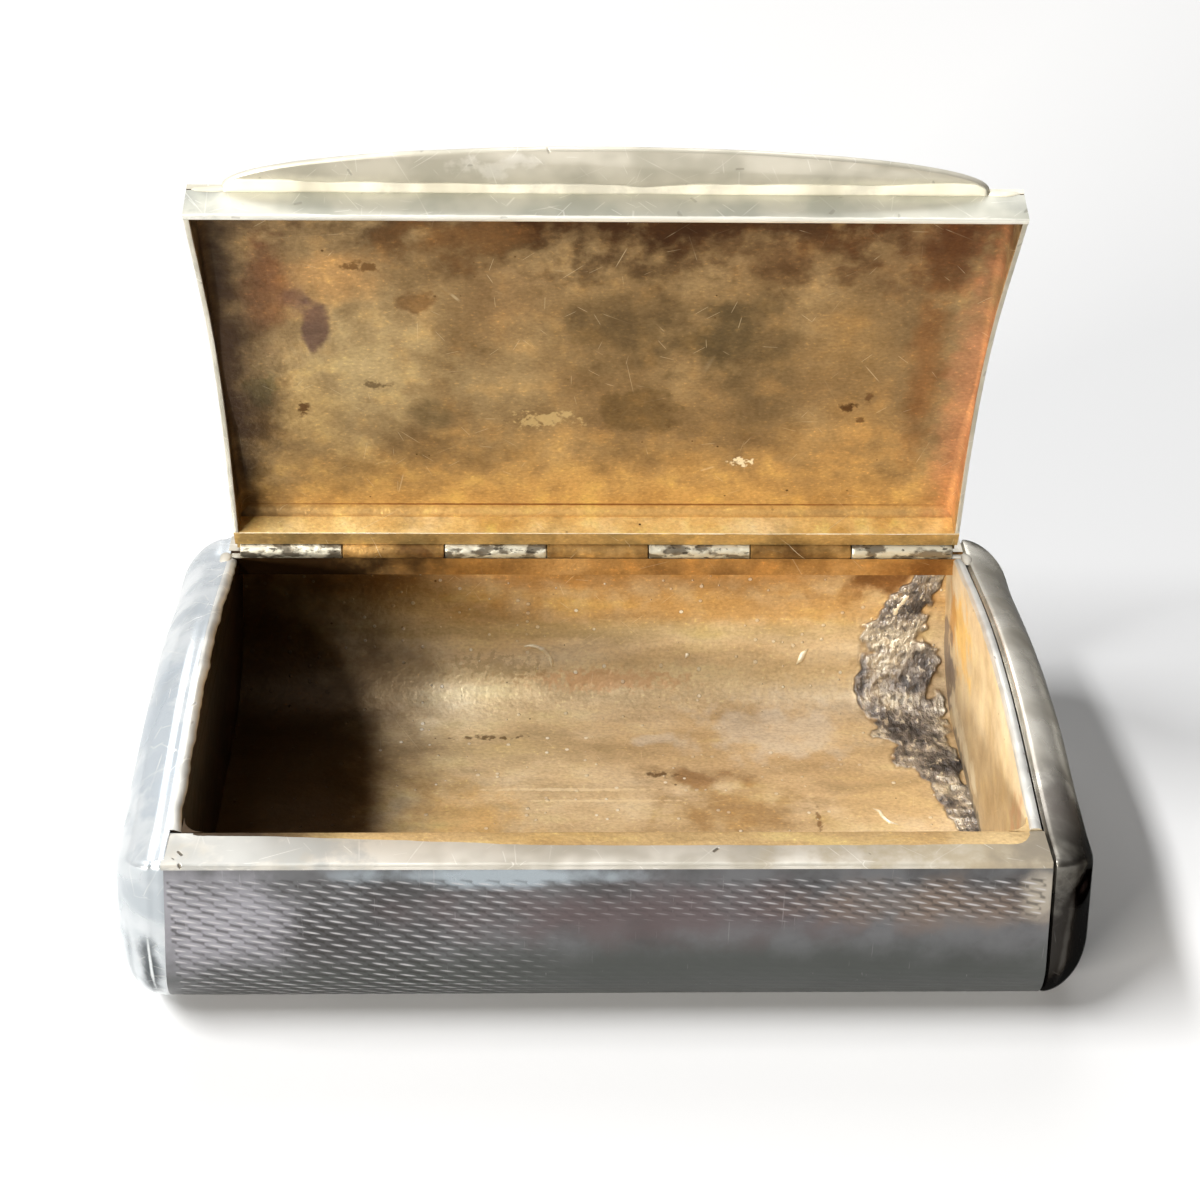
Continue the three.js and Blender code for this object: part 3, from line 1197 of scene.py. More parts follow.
@dataclass
class EndWalls:
    """Flat inner end plates with arched edges, and the domed caps over them.

    Attributes:
        sizes: The box's sizes.
        worn_below: How far below the rim the wear of a plate's edge starts, in mm.
        corner_round: Radius of a cap's shoulders in mm.
        corner_steps: Spaces between the points of a shoulder.
        bend_steps: The same for a lower corner.
        arch_steps: The same for the arch.
        cap_rings: The same for a cap's bend.
        crown: Rise of a cap's middle in mm.
        dent: Depth of a cap's dents in mm.
        crease: Depth of the upright creases at its front in mm.
    """

    sizes: BoxSizes = SIZES
    worn_below: float = 0.4
    corner_round: float = 0.7
    corner_steps: int = 5
    bend_steps: int = 18
    arch_steps: int = 140
    cap_rings: int = 20
    crown: float = 0.35
    dent: float = 0.12
    crease: float = 0.10

    def build(self) -> None:
        """Draws a plate and a cap at each end."""
        edge = PLATE_EDGE.material()
        plates = {End.LEFT: GILT_LEFT.material(), End.RIGHT: GILT_RIGHT.material()}
        caps = {End.LEFT: LEFT_CAP.material(), End.RIGHT: RIGHT_CAP.material()}
        for end in End:
            side = end.name.lower()
            plate = Piece(f"{side}_end_wall", Body.BOX, (f"{side}_end_plate",), Slot.GILT)
            plate.make(self.plate(end), (plates[end], edge, plates[End.LEFT]))
            cap = Piece(f"{side}_end_dome", Body.BOX, (f"{side}_end_cap",), Slot.POLISHED)
            cap.make(self.cap(end), (caps[end],))

    def outline(self, inset: float, top: float, with_shoulders: bool) -> list[Flat]:
        """The end outline, from the front top round the base and back over the arch.

        Args:
            inset: How far it lies inside the sheet's outside in mm.
            top: Change of the arch's height in mm.
            with_shoulders: Whether it runs out to the front and back faces at the rim, as a cap does.

        Returns:
            Points in Y and Z.
        """
        s = self.sizes
        reach = s.half_depth - inset
        centre = s.half_depth - s.corner
        radius = s.corner - inset
        r = self.corner_round
        if with_shoulders:
            points = arc((-reach + r, s.rim - r), r, 90, 180, self.corner_steps)
        else:
            points = [(s.front_edge + s.seam, s.front_seat), (-reach, s.front_seat)]
        for start, sign in ((180, -1), (270, 1)):
            points += arc((sign * centre, s.corner), radius, start, start + 90, self.bend_steps)
        if with_shoulders:
            points += arc((reach - r, s.rim - r), r, 0, 90, self.corner_steps)
            back, front = s.back_edge + s.arch_reach, s.front_edge - s.arch_reach
        else:
            points.append((reach, s.back_seat))
            back, front = s.back_edge, s.front_edge + s.seam
        return points + [(y, s.rim + s.arch(y) + top) for y in steps(back, front, self.arch_steps)]

    def plate(self, end: End) -> Shape:
        """Draws an end plate, with its worn inner edge.

        Args:
            end: Which end.

        Returns:
            The plate, with its top edge in the second finish.
        """
        s = self.sizes
        inset = s.sheet + s.seam
        sections = []
        for across, drop in PLATE_EDGES[end]:
            share = across / s.plate
            section = []
            for y, z in self.outline(inset, -drop, False):
                worn = 0.0
                if z > s.rim - self.worn_below:
                    wave = noise.noise(Vector((y / 2.6, end.value * 5.0, 0.5)))
                    wave += 0.5 * noise.noise(Vector((y / 0.9, end.value * 3.0, 4.5)))
                    left = (1 - share) * smooth(0.0, 2.0, y - s.front_edge)
                    worn = PLATE_WEAR[end] * (0.5 + 0.5 * wave) * left
                section.append((end.value * (s.half_opening + across + worn + s.lean(z)), y, z))
            sections.append(section)
        bm = loft(sections)
        for face in bm.faces:
            middle = face.calc_center_median()
            if face.normal.z > 0.3 and middle.z > s.rim - 0.5:
                face.material_index = 1
            elif face.normal.x * end.value > 0.5:
                face.material_index = 2
        return bm

    def cap(self, end: End) -> Shape:
        """Draws a domed cap.

        Args:
            end: Which end.

        Returns:
            The cap.
        """
        s = self.sizes
        start = s.plate_outer + s.seam
        middle = (s.rim + s.arch_rise) / 2
        outline = self.outline(0.0, 0.0, True)
        rings = list(CAP_MOUTHS[end])
        for angle in steps(0, math.pi / 2, self.cap_rings):
            out = (s.bulge - self.crown) * math.sin(angle)
            if out > rings[-1][0] + 0.1:
                rings.append((out, s.cap_round * (1 - math.cos(angle))))
        shrink = 1 - s.cap_round / s.half_depth
        sections = []
        for out, inset in rings:
            wide, tall = 1 - inset / s.half_depth, 1 - inset / middle
            sections.append(self.ring(end, outline, start + out, wide, tall))
        flat = 1 - s.cap_round / middle
        for share in CROWN_RINGS:
            out = s.bulge - self.crown * share * share
            sections.append(self.ring(end, outline, start + out, shrink * share, flat * share))
        bm = loft(sections)
        for vert in bm.verts:
            dent = noise.noise(vert.co / 5.0 + Vector((3.0, 0.0, 7.0)))
            crease = noise.noise(Vector((vert.co.y / 1.6, vert.co.z / 7.0, end.value * 4.0)))
            out = abs(vert.co.x) - start - s.lean(vert.co.z)
            front = smooth(-12.0, -20.0, vert.co.y)
            move = self.dent * (0.5 + 0.5 * dent) + self.crease * (0.5 + 0.5 * crease) * front
            vert.co.x -= end.value * move * smooth(0.5, 2.5, out)
        return bm

    def ring(self, end: End, outline: Sequence[Flat], x: float, wide: float, tall: float) -> list[Point]:
        """One ring of a cap: the outline drawn in about its middle and leaned with the end.

        Args:
            end: Which end.
            outline: Points in Y and Z.
            x: Place along the box at the rim.
            wide: Scale in Y.
            tall: Scale in Z.

        Returns:
            The ring's points.
        """
        s = self.sizes
        middle = (s.rim + s.arch_rise) / 2
        ring = []
        for y, z in outline:
            height = middle + (z - middle) * tall
            ring.append((end.value * (x + s.lean(height)), y * wide, height))
        return ring


@dataclass
class Rims:
    """The plain plate along the front rim and the bar along the back that carries the hinge.

    Attributes:
        sizes: The box's sizes.
        edge_round: Radius of the worn edges in mm.
        front_round: Radius of the plate's upper front edge in mm.
        seat_round: Radius of its lower front edge in mm.
        rim_worn: Width of the plate's gilt strip in mm.
        rim_bow: What wear has added to that width from the middle to the right, in mm.
        rim_wave: Waves of the strip's edge in mm.
        edge_wave: Waves of the plate's edges in mm.
        rim_steps: Spaces between rings along the plate.
        spacing: Space between rings along the bar in mm.
        fillet: Radius of the solder in the front corners of the opening, in mm.
        fillet_steps: Spaces between its points.
        under: Share of a tube's radius that the bar reaches forward under the hinge.
        cove_steps: Spaces between the points of the cove.
    """

    sizes: BoxSizes = SIZES
    edge_round: float = 0.16
    front_round: float = 0.3
    seat_round: float = 0.02
    rim_worn: float = 0.4
    rim_bow: float = 1.2
    rim_wave: float = 0.07
    edge_wave: float = 0.04
    rim_steps: int = 170
    spacing: float = 0.8
    fillet: float = 1.6
    fillet_steps: int = 8
    under: float = 0.9
    cove_steps: int = 12

    def build(self) -> None:
        """Draws the front plate, its two corner fillets and the back bar."""
        s = self.sizes
        silver = FRONT_RIM.material()
        stations = steps(-s.plate_outer, s.plate_outer, round(2 * s.plate_outer / self.spacing))
        r = self.edge_round
        radii = (r, self.front_round, self.seat_round, r)
        outline = rounded((-s.half_depth, s.front_seat), (s.front_edge, s.rim), radii)
        outline.insert(len(outline) // 4, (s.front_edge - self.rim_worn, s.rim))
        plate = bar_along(outline, steps(-s.plate_outer, s.plate_outer, self.rim_steps))
        for vert in plate.verts:
            wave = noise.noise(Vector((vert.co.x / 5.0, vert.co.y, 2.0)))
            wave += 0.5 * noise.noise(Vector((vert.co.x / 1.6, vert.co.y, 8.0)))
            if abs(vert.co.y - s.front_edge + self.rim_worn) < 0.01:
                vert.co.y = self.inner(vert.co.x) - self.rim_wave * (1 + wave)
            else:
                near = smooth(s.front_edge - 0.3, s.front_edge, vert.co.y)
                vert.co.y -= self.edge_wave * (1 + wave) * near
            vert.co.z -= self.edge_wave * (1 + wave) * smooth(s.rim - 0.2, s.rim, vert.co.z)
        for face in plate.faces:
            middle = face.calc_center_median()
            inside = abs(middle.x) < s.half_opening and middle.y > self.inner(middle.x) - 0.04
            face.material_index = 1 if inside else 0
        front = Piece("front_rim_band", Body.BOX, ("front_rim_plate",), Slot.POLISHED)
        gilt = GILT_RIM.material()
        front.make(plate, (silver, gilt))
        for end in End:
            corner = Piece(f"{end.name.lower()}_rim_fillet", Body.BOX, (), Slot.POLISHED)
            corner.make(self.corner(end), (gilt,))
        (x, y, z), radii = BACK_SOLDER
        for end in End:
            solder = Piece(f"{end.name.lower()}_back_solder", Body.BOX, (), Slot.POLISHED)
            solder.make(mound((end.value * x, y, z), radii, end.value * 2.0), (silver,), sharp=180)
        bar = Piece("back_hinge_ledge", Body.BOX, ("back_joint_bar",), Slot.POLISHED)
        bar.make(self.ledge(stations), (BACK_LEDGE.material(), GILT_LEDGE.material()))

    def inner(self, x: float) -> float:
        """The line that wear has moved towards the front between the ends, with the gilding behind it.

        Args:
            x: Place along the box in mm.

        Returns:
            Its Y in mm.
        """
        straight = self.sizes.half_opening - self.fillet
        worn = self.rim_worn + self.rim_bow * smooth(-straight, 0, x)
        past = min(max(abs(x) - straight, 0.0), self.fillet)
        corner = self.fillet - math.sqrt(self.fillet ** 2 - past ** 2)
        return self.sizes.front_edge - max(worn - corner, 0.1)

    def corner(self, end: End) -> Shape:
        """Draws the solder that rounds an inner front corner of the opening.

        Args:
            end: Which end.

        Returns:
            The fillet.
        """
        s = self.sizes
        r = self.fillet
        front = s.front_edge
        outline = [(s.half_opening + LAP, front - 0.1)]
        outline += arc((s.half_opening - r, front + r), r, 270, 360, self.fillet_steps)
        outline.append((s.half_opening + LAP, front + r))
        low, high = s.rim - s.front_rim_thick, s.rim - 0.06
        return loft([[(end.value * x, y, z) for x, y in outline] for z in (low, high - 0.15, high)])

    def ledge(self, stations: Sequence[float]) -> Shape:
        """Draws the back bar with the cove that the hinge lies in.

        Args:
            stations: Places along X.

        Returns:
            The bar.
        """
        s = self.sizes
        low = s.rim - s.bar_height
        face = s.axis[1] - s.knuckle * self.under
        start = math.degrees(math.acos(-s.knuckle * self.under / s.cove))
        end = math.degrees(math.asin(s.axis_rise / s.cove))
        outline = [(s.half_depth - self.edge_round, low), (face, low)]
        outline += arc(s.axis[1:], s.cove, 360 - start, 360 - end, self.cove_steps)
        r = self.edge_round * 2
        outline += arc((s.half_depth - r, s.rim - r), r, 90, 0, CORNER_STEPS)
        outline.append((s.half_depth, low + self.edge_round))
        bm = bar_along(outline, stations)
        for face in bm.faces:
            face.material_index = 1 if face.normal.y < -0.5 or face.normal.z < -0.5 else 0
        return bm


@dataclass
class Hinge:
    """Seven short tubes in a row on one pin, four on the box and three on the lid."""

    sizes: BoxSizes = SIZES
    around: int = 40
    lengths: int = 40
    end_round: float = 0.08
    pitting: float = 0.06

    def build(self) -> None:
        """Draws the tubes and dresses the pin."""
        s = self.sizes
        row = s.half_opening - s.knuckle_gap
        pitch = 2 * row / s.knuckles
        crust = CrustedSilver().material()
        gilt = GILT_KNUCKLE.material()
        for index in range(1, s.knuckles + 1):
            start = -row + pitch * (index - 1) + s.knuckle_gap / 2
            end = -row + pitch * index - s.knuckle_gap / 2
            on_box = index % 2 == 1
            node = f"body_knuckle_{index}" if on_box else f"lid_knuckle_{index}"
            body, slot = (Body.BOX, Slot.JOINT) if on_box else (Body.LID, Slot.GILT)
            piece = Piece(f"hinge_tube_{index}", body, (node,), slot)
            piece.make(self.tube(start, end, on_box), (crust if on_box else gilt,))
        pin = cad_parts["hinge_pin"]
        pin.data.materials.clear()
        pin.data.materials.append(DrawnWire().material())

    def tube(self, start: float, end: float, pitted: bool) -> Shape:
        """Draws one tube by spinning its section about the hinge axis.

        Args:
            start: X of its left end.
            end: X of its right end.
            pitted: Whether its outside is corroded.

        Returns:
            The tube.
        """
        s = self.sizes
        r = self.end_round
        bm = bmesh.new()
        outline = [(start, s.bore), (start, s.knuckle - r), (start + r, s.knuckle)]
        outline += [(x, s.knuckle) for x in steps(start + r, end - r, self.lengths)[1:-1]]
        outline += [(end - r, s.knuckle), (end, s.knuckle - r), (end, s.bore)]
        ring = [bm.verts.new((x, s.axis[1], s.axis[2] + radius)) for x, radius in outline]
        edges = [bm.edges.new(pair) for pair in zip(ring, ring[1:] + ring[:1])]
        bmesh.ops.spin(bm, geom=ring + edges, cent=s.axis, axis=(1, 0, 0), angle=2 * math.pi,
                       steps=self.around, use_merge=True)
        bmesh.ops.remove_doubles(bm, verts=bm.verts, dist=1e-5)
        bmesh.ops.recalc_face_normals(bm, faces=bm.faces)
        for vert in bm.verts:
            out = Vector((0, vert.co.y - s.axis[1], vert.co.z - s.axis[2]))
            if pitted and out.length > s.knuckle - r / 2:
                pit = noise.noise(vert.co / 0.5) + 0.5 * noise.noise(vert.co / 0.25)
                vert.co -= out.normalized() * self.pitting * smooth(0.0, 0.9, abs(pit))
        return bm


# Lid


# Edge profile of the lip, as heights above its under face and insets in mm
LIP_EDGE = ((0.0, 0.16), (0.08, 0.05), (0.2, 0.0), (0.42, 0.0), (0.54, 0.06), (0.6, 0.2))


@dataclass
class Lid:
    """The shallow lid: a turned plate, three walls, a hinge bar, a bowed thumb lip and their solder.

    Attributes:
        sizes: The box's sizes.
        border: Width of the plain border round the turning in mm.
        edge_round: Radius of the walls' edges in mm.
        spacing: Space between rings along the front wall in mm.
        crease: Radius of the solder in the inner creases in mm.
        crease_clearance: What is left between that and the end plates when shut, in mm.
        solder: Width of the ridge of solder along the lip in mm.
        lump: Reach of the lumps of solder beside the lip in mm.
        lump_past: How far past the lip's ends their middles lie, in mm.
        dent_rise: How far dents lift the front wall's lower edge, in mm.
        dent_in: How far they push it in, in mm.
        dent_reach: How far above the rim they reach, in mm.
        wall_steps: Spaces between rings along an end wall.
        bar_steps: The same along the hinge bar.
        lip_steps: Spaces between points round the lip.
        ridge_steps: Spaces between rings along the ridge of solder.
        hollow_steps: Spaces between points across the solder's hollow.
    """

    sizes: BoxSizes = SIZES
    border: float = 2.6
    edge_round: float = 0.12
    spacing: float = 0.8
    crease: float = 0.75
    crease_clearance: float = 0.12
    solder: float = 0.75
    lump: Point = (1.5, 0.22, 0.36)
    lump_past: float = 0.9
    dent_rise: float = 0.08
    dent_in: float = 0.06
    dent_reach: float = 1.4
    wall_steps: int = 50
    bar_steps: int = 80
    lip_steps: int = 96
    ridge_steps: int = 200
    hollow_steps: int = 6

    def build(self) -> None:
        """Draws the lid's pieces."""
        s = self.sizes
        silver = LID_SILVER.material()
        gilt = GILT_LID.material()
        bar = GILT_BAR.material()
        plate = Piece("lid_turned_plate", Body.LID, ("lid_plate",), Slot.TURNED)
        plate.make(self.plate(), (TURNED_LID.material(), gilt, silver))
        wall = Piece("lid_front_band", Body.LID, ("lid_front_wall",), Slot.POLISHED)
        wall.make(self.front_wall(), (LID_WALL.material(), gilt))
        lip = Piece("thumb_lip_blade", Body.LID, ("thumb_lip",), Slot.POLISHED)
        lip.make(self.lip(), (silver,))
        seam = Piece("lip_solder", Body.LID, (), Slot.POLISHED)
        solder = SOLDER.material()
        seam.make(self.lip_solder(), (solder,), sharp=180)
        for end in End:
            side = end.name.lower()
            lump = Piece(f"lip_{side}_lump", Body.LID, (), Slot.POLISHED)
            place = (end.value * (s.lip_half + self.lump_past), s.lid_front + 0.06, s.lid_under)
            lump.make(mound(place, self.lump, end.value * 3.0), (solder,), sharp=180)
            piece = Piece(f"lid_{side}_band", Body.LID, (f"lid_{side}_wall",), Slot.POLISHED)
            piece.make(self.end_wall(end), (silver, gilt))
        hinge_bar = Piece("lid_hinge_ledge", Body.LID, ("lid_joint_bar",), Slot.GILT)
        hinge_bar.make(self.hinge_bar(), (bar, GILT_BAR_TOP.material(), LIFTED_GILT.material()))
        for name, bm in self.creases().items():
            Piece(name, Body.LID, (), Slot.GILT).make(bm, (gilt,), sharp=60)

    def plate(self) -> Shape:
        """Draws the lid plate: turned within a plain border outside, flat and gilt inside.

        Returns:
            The plate.
        """
        s = self.sizes
        back = s.axis[1] + s.lid_bar_back
        middle = (s.lid_front + back) / 2
        half = (back - s.lid_front) / 2
        bm = bmesh.new()
        cut = bm.verts.layers.float.new(CUT)
        columns, rows = TURNING.columns(2 * s.lid_half), TURNING.rows(2 * half)
        bmesh.ops.create_grid(bm, x_segments=columns, y_segments=rows, size=1)
        border = [edge for edge in bm.edges if edge.is_boundary]
        for vert in bm.verts:
            x, y = vert.co.x * s.lid_half, middle + vert.co.y * half
            inside = min(s.lid_half - abs(x), half - abs(y - middle)) - self.border
            left = smooth(0.0, 0.35, inside) * (0.7 + 0.3 * noise.noise(Vector((x / 8, y / 8, 5.0))))
            share = TURNING.cut(x, y, left)
            vert[cut] = share
            vert.co = (x, y, s.lid_top - TURNING.depth * share)
        made = bmesh.ops.extrude_edge_only(bm, edges=border)["geom"]
        for part in made:
            if isinstance(part, bmesh.types.BMVert):
                part.co.z = s.lid_under
        rim = [part for part in made if isinstance(part, bmesh.types.BMEdge) and part.is_boundary]
        under = bmesh.ops.contextual_create(bm, geom=rim)["faces"]
        bmesh.ops.recalc_face_normals(bm, faces=bm.faces)
        for face in under:
            face.material_index = 1
        for face in bm.faces:
            if abs(face.normal.z) < 0.5:
                face.material_index = 2
        return bm

    def front_wall(self) -> Shape:
        """Draws the front wall, with its slightly dented lower edge.

        Returns:
            The wall, with its inner face in the second finish.
        """
        s = self.sizes
        stations = steps(-s.lid_half, s.lid_half, round(2 * s.lid_half / self.spacing))
        low, high = (s.lid_front, s.rim + s.rest_gap), (s.front_edge, s.lid_under - s.seam)
        outline = rounded(low, high, (self.edge_round,) * 4)
        bm = bar_along(outline, stations)
        for vert in bm.verts:
            low = smooth(s.rim + self.dent_reach, s.rim + s.rest_gap, vert.co.z)
            wave = noise.noise(Vector((vert.co.x / 7.0, 1.0, 6.0)))
            wave += 0.4 * noise.noise(Vector((vert.co.x / 2.0, 3.0, 2.0)))
            vert.co.z += self.dent_rise * (1 + wave) * low
            vert.co.y += self.dent_in * (1 + wave) * low
        for face in bm.faces:
            face.material_index = 1 if face.normal.y > 0.5 else 0
        return bm

    def end_wall(self, end: End) -> Shape:
        """Draws an end wall, whose lower edge follows the arch of the box.

        Args:
            end: Which end.

        Returns:
            The wall, with its inner face in the second finish.
        """
        s = self.sizes
        sections = []
        back = s.axis[1] - s.lid_bar_front
        for y in steps(s.front_edge + s.seam, back - s.seam, self.wall_steps):
            low = s.rim + s.arch(y) + s.rest_gap
            wave = 0.05 * (1 + noise.noise(Vector((y / 3.0, end.value, 1.0))))
            corners = (s.lid_half - s.lid_wall, low + wave), (s.lid_half, s.lid_under - s.seam)
            outline = rounded(*corners, (self.edge_round,) * 4)
            sections.append([(end.value * x, y, z) for x, z in outline])
        bm = loft(sections)
        for face in bm.faces:
            face.material_index = 1 if face.normal.x * end.value < -0.5 else 0
        return bm

    def hinge_bar(self) -> Shape:
        """Draws the bar along the lid's back, with the cove that the hinge lies in.

        Returns:
            The bar.
        """
        s = self.sizes
        front, back = s.axis[1] - s.lid_bar_front, s.axis[1] + s.lid_bar_back
        high = s.lid_under - s.seam
        r = self.edge_round
        outline = [(back, high), (front, high)]
        outline += arc((front + r, s.axis[2] + r), r, 180, 270, 3)
        last = math.degrees(math.acos(s.lid_bar_back / s.cove))
        outline += arc(s.axis[1:], s.cove, 180, last, 14)
        bm = bar_along(outline, steps(-s.lid_half, s.lid_half, self.bar_steps))
        for vert in bm.verts:
            wave = noise.noise(Vector((vert.co.x / 6.0, 2.0, 5.0)))
            vert.co.y += 0.05 * (1 + wave) * smooth(front + 0.3, front, vert.co.y)
        for face in bm.faces:
            face.material_index = 1 if face.normal.y < -0.9 else 0
            slanting = -0.9 < face.normal.y < -0.1 and face.normal.z < -0.1
            if slanting and face.calc_center_median().y < front + r:
                face.material_index = 2
        return bm

    def lip(self) -> Shape:
        """Draws the bowed thumb lip with its thin rounded edge.

        Returns:
            The lip.
        """
        s = self.sizes
        y = s.lid_front - s.seam
        sections = []
        for z, inset in LIP_EDGE:
            section = []
            for angle in steps(180, 360, self.lip_steps):
                turn = math.radians(angle)
                wave = 0.05 * (1 + noise.noise(Vector((math.cos(turn) * 9, 4.0, 2.0))))
                reach = s.lip_reach - inset - wave
                x = (s.lip_half - inset) * math.cos(turn)
                section.append((x, y + reach * math.sin(turn), s.lid_under + z))
            sections.append(section)
        return loft(sections)

    def lip_solder(self) -> Shape:
        """Draws the uneven ridge of solder between the lip and the front wall.

        Returns:
            The ridge.
        """
        s = self.sizes
        top = s.lid_under - 0.01
        wall = s.lid_front + LAP
        sections = []
        for x in steps(-s.lip_half + 0.2, s.lip_half - 0.2, self.ridge_steps):
            wave = noise.noise(Vector((x / 6.0, 6.0, 1.0))) + 0.25 * noise.noise(Vector((x / 2.0, 2.0, 3.0)))
            lip = s.lip_reach * math.sqrt(1 - (x / s.lip_half) ** 2)
            wide = min(self.solder * (1.0 + 0.45 * wave + 0.5 * (x / s.lip_half) ** 2), 0.9 * lip)
            tall = self.solder * (0.45 + 0.15 * wave)
            outline = [(wall, top)]
            for angle in steps(0, 90, self.hollow_steps):
                turn = math.radians(angle)
                hollow = 1 - 0.25 * math.sin(2 * turn)
                outline.append((wall - wide * math.sin(turn) * hollow, top - tall * math.cos(turn) * hollow))
            sections.append([(x, y, z) for y, z in outline])
        return loft(sections)

    def creases(self) -> dict[str, Shape]:
        """Draws the gilt solder that fills the inner creases round the plate.

        Returns:
            Shapes by name.
        """
        s = self.sizes
        top = s.lid_under - 0.01
        wall_x = s.lid_half - s.lid_wall
        front, back = s.front_edge, s.axis[1] - s.lid_bar_front

        def hollow(x: float, out: float, r: float) -> list[Flat]:
            """Section of a fillet against a wall.

            Args:
                x: Where the wall stands.
                out: 1 or -1, on the wall's own side.
                r: The fillet's radius.

            Returns:
                Its points.
            """
            profile = [(x + out * LAP, top), (x + out * LAP, top - r)]
            for angle in steps(0, 90, self.hollow_steps):
                turn = math.radians(angle)
                profile.append((x - out * r * (1 - math.cos(turn)), top - r * (1 - math.sin(turn))))
            return profile

        shapes = {}
        for end in End:
            sections = []
            for y in steps(front, back, 24):
                r = min(self.crease, top - s.rim - s.arch(y) - self.crease_clearance)
                sections.append([(end.value * x, y, z) for x, z in hollow(wall_x, 1.0, r)])
            shapes[f"lid_{end.name.lower()}_crease"] = loft(sections)
        for name, y, out in (("lid_front_crease", front, -1.0), ("lid_back_crease", back, 1.0)):
            outline = hollow(y, out, self.crease)
            sections = [[(x, v, z) for v, z in outline] for x in steps(-wall_x, wall_x, 12)]
            shapes[name] = loft(sections)
        return shapes


# Where the finishes lie

# Left of this X in mm there is no crust
CRUST_LEFT = 22.0

# Middle line of the corroded crust, from the top of the back wall to the floor, and its reach in mm
CRUST_SPINE = (
    ((31.6, 22.3, 15.0), 1.0),
    ((29.8, 22.3, 10.5), 1.9),
    ((28.2, 22.2, 6.5), 3.0),
    ((28.9, 20.5, 3.0), 4.2),
    ((29.4, 16.0, 0.9), 4.0),
    ((30.8, 11.5, 0.7), 3.0),
    ((32.2, 7.0, 0.7), 1.7),
    ((32.8, 2.0, 0.7), 1.3),
    ((32.9, -4.0, 0.7), 1.1),
)

# Lifted gilding inside: a line along the box and up from the back bend, half width and height in mm
FLAKES = (
    ([(-6.2 + 2.1 * math.cos(math.radians(a)), 7.8 + 2.1 * math.sin(math.radians(a)))
      for a in range(105, -6, -10)], 0.22, 0.25),
    ([(19.2, 7.9), (19.6, 8.4), (19.8, 9.0), (20.3, 9.6)], 0.3, 0.2),
    ([(27.5, 12.6), (28.1, 13.6), (28.6, 14.8), (29.4, 16.0), (29.8, 17.2)], 0.42, 0.3),
    ([(23.6, 19.2), (23.9, 19.5), (24.1, 19.9)], 0.3, 0.2),
    ([(24.6, -11.4), (25.2, -11.9), (25.4, -12.7), (25.9, -13.4), (26.6, -13.7)], 0.18, 0.2),
    ([(8.6, 8.6), (8.8, 8.9), (9.0, 9.1)], 0.25, 0.18),
)

# Sterling sheet cut on an engine: matt grey with tiny bright crests, cloudy from tarnish and handling, with
# a painted dark reflection low on the front
TURNED_BODY = TurnedSilver(
    "engine_turned_silver_worn", ("#3f3c3a", "#757576", "#d9d6d6"),
    stains=(
        # Painted dark reflection low on the front, darker towards its foot
        Stain((10, -23, 3.4), (60, 8, 8), "#565855", 0.94, 0.12, 0.06, 0.5),
        Stain((4, -23, 12.6), (26, 4, 4.4), "#6c5f5f", 0.8, 0.3, 0.03, 0.9),
        Stain((27, -23, 13.6), (16, 4, 3.4), "#8a796c", 0.8, 0.3, 0.03, 0.9),
        Stain((-31, -23, 12), (11, 6, 7), "#b3b1b7", 0.8, 0.3, -0.04, 0.9),
        Stain((-9, -23, 16.4), (13, 3, 1.5), "#b4bec4", 0.85, 0.3, -0.1, 0.7),
        Stain((33, -23, 14.4), (2.5, 3, 3.2), "#c9bfae", 0.7, 0.3, 0.0, 0.8),
    ))

# The same on the lid's top, which handling has kept lighter
TURNED_LID = TurnedSilver("engine_turned_silver_lid", ("#4a4743", "#86868a", "#dedcd6"), body=Body.LID)

# Hand-polished sterling towards the window: almost white, with a painted dark reflection band and a painted
# highlight line at the front foot
LEFT_CAP = PolishedSilver(
    "polished_silver_cool", ("#b6bdc2", "#dbdfe1"), rough=0.2, metal=0.9,
    stains=(
        # Painted dark reflection band at the front foot, then a painted highlight line inside it
        Stain((-35.3, -22.2, 6.6), (1.1, 3, 5.6), "#3f4447", 0.88, 0.3, 0.05, 0.8, 0.1),
        Stain((-36.9, -20.5, 7.0), (0.4, 3, 5), "#8b9196", 0.5, 0.3, 0.05, 0.8, 0.1),
        Stain((-35.2, -22.2, 7.4), (0.16, 3, 4.2), "#f4f8f8", 0.9, 0.3, 0.0, 0.8),
        Stain((-36, -10, 19), (5, 14, 3), "#b9c2ca", 0.6, 0.6, 0.0, 0.6),
    ))

# Hand-polished sterling away from the window: mirror grey, with a painted near-black reflection over the
# front and a painted dark reflection swirl near its top
RIGHT_CAP = PolishedSilver(
    "polished_silver_painted_reflection", ("#c6c0b3", "#f3eee2"), rough=0.24, metal=0.85, scratches=0.06,
    edge="#303030",
    stains=(
        # Painted near-black reflection over the front, then a painted dark reflection swirl
        Stain((37, -21, 8), (12, 13, 21), "#262321", 0.98, 0.1, 0.0, 0.7, 0.1),
        Stain((36.6, -21.6, 14.2), (1.5, 3, 2.2), "#120d0c", 0.9, 0.2, 0.05, 0.6, 0.1),
        Stain((36.6, -21.6, 14.2), (0.6, 2, 0.9), "#4b413e", 0.7, 0.2, 0.05, 0.8, 0.0),
        Stain((35.6, -22.6, 8), (0.4, 3, 7), "#5c5955", 0.6, 0.3, 0.0, 0.8),
        Stain((36.5, 23, 15), (4, 2.6, 6), "#2e2b29", 0.85, 0.3, 0.0, 0.6),
        Stain((35.4, -16, 17.5), (3, 5, 3), "#8f8780", 0.7, 0.3, 0.0, 0.9),
    ))

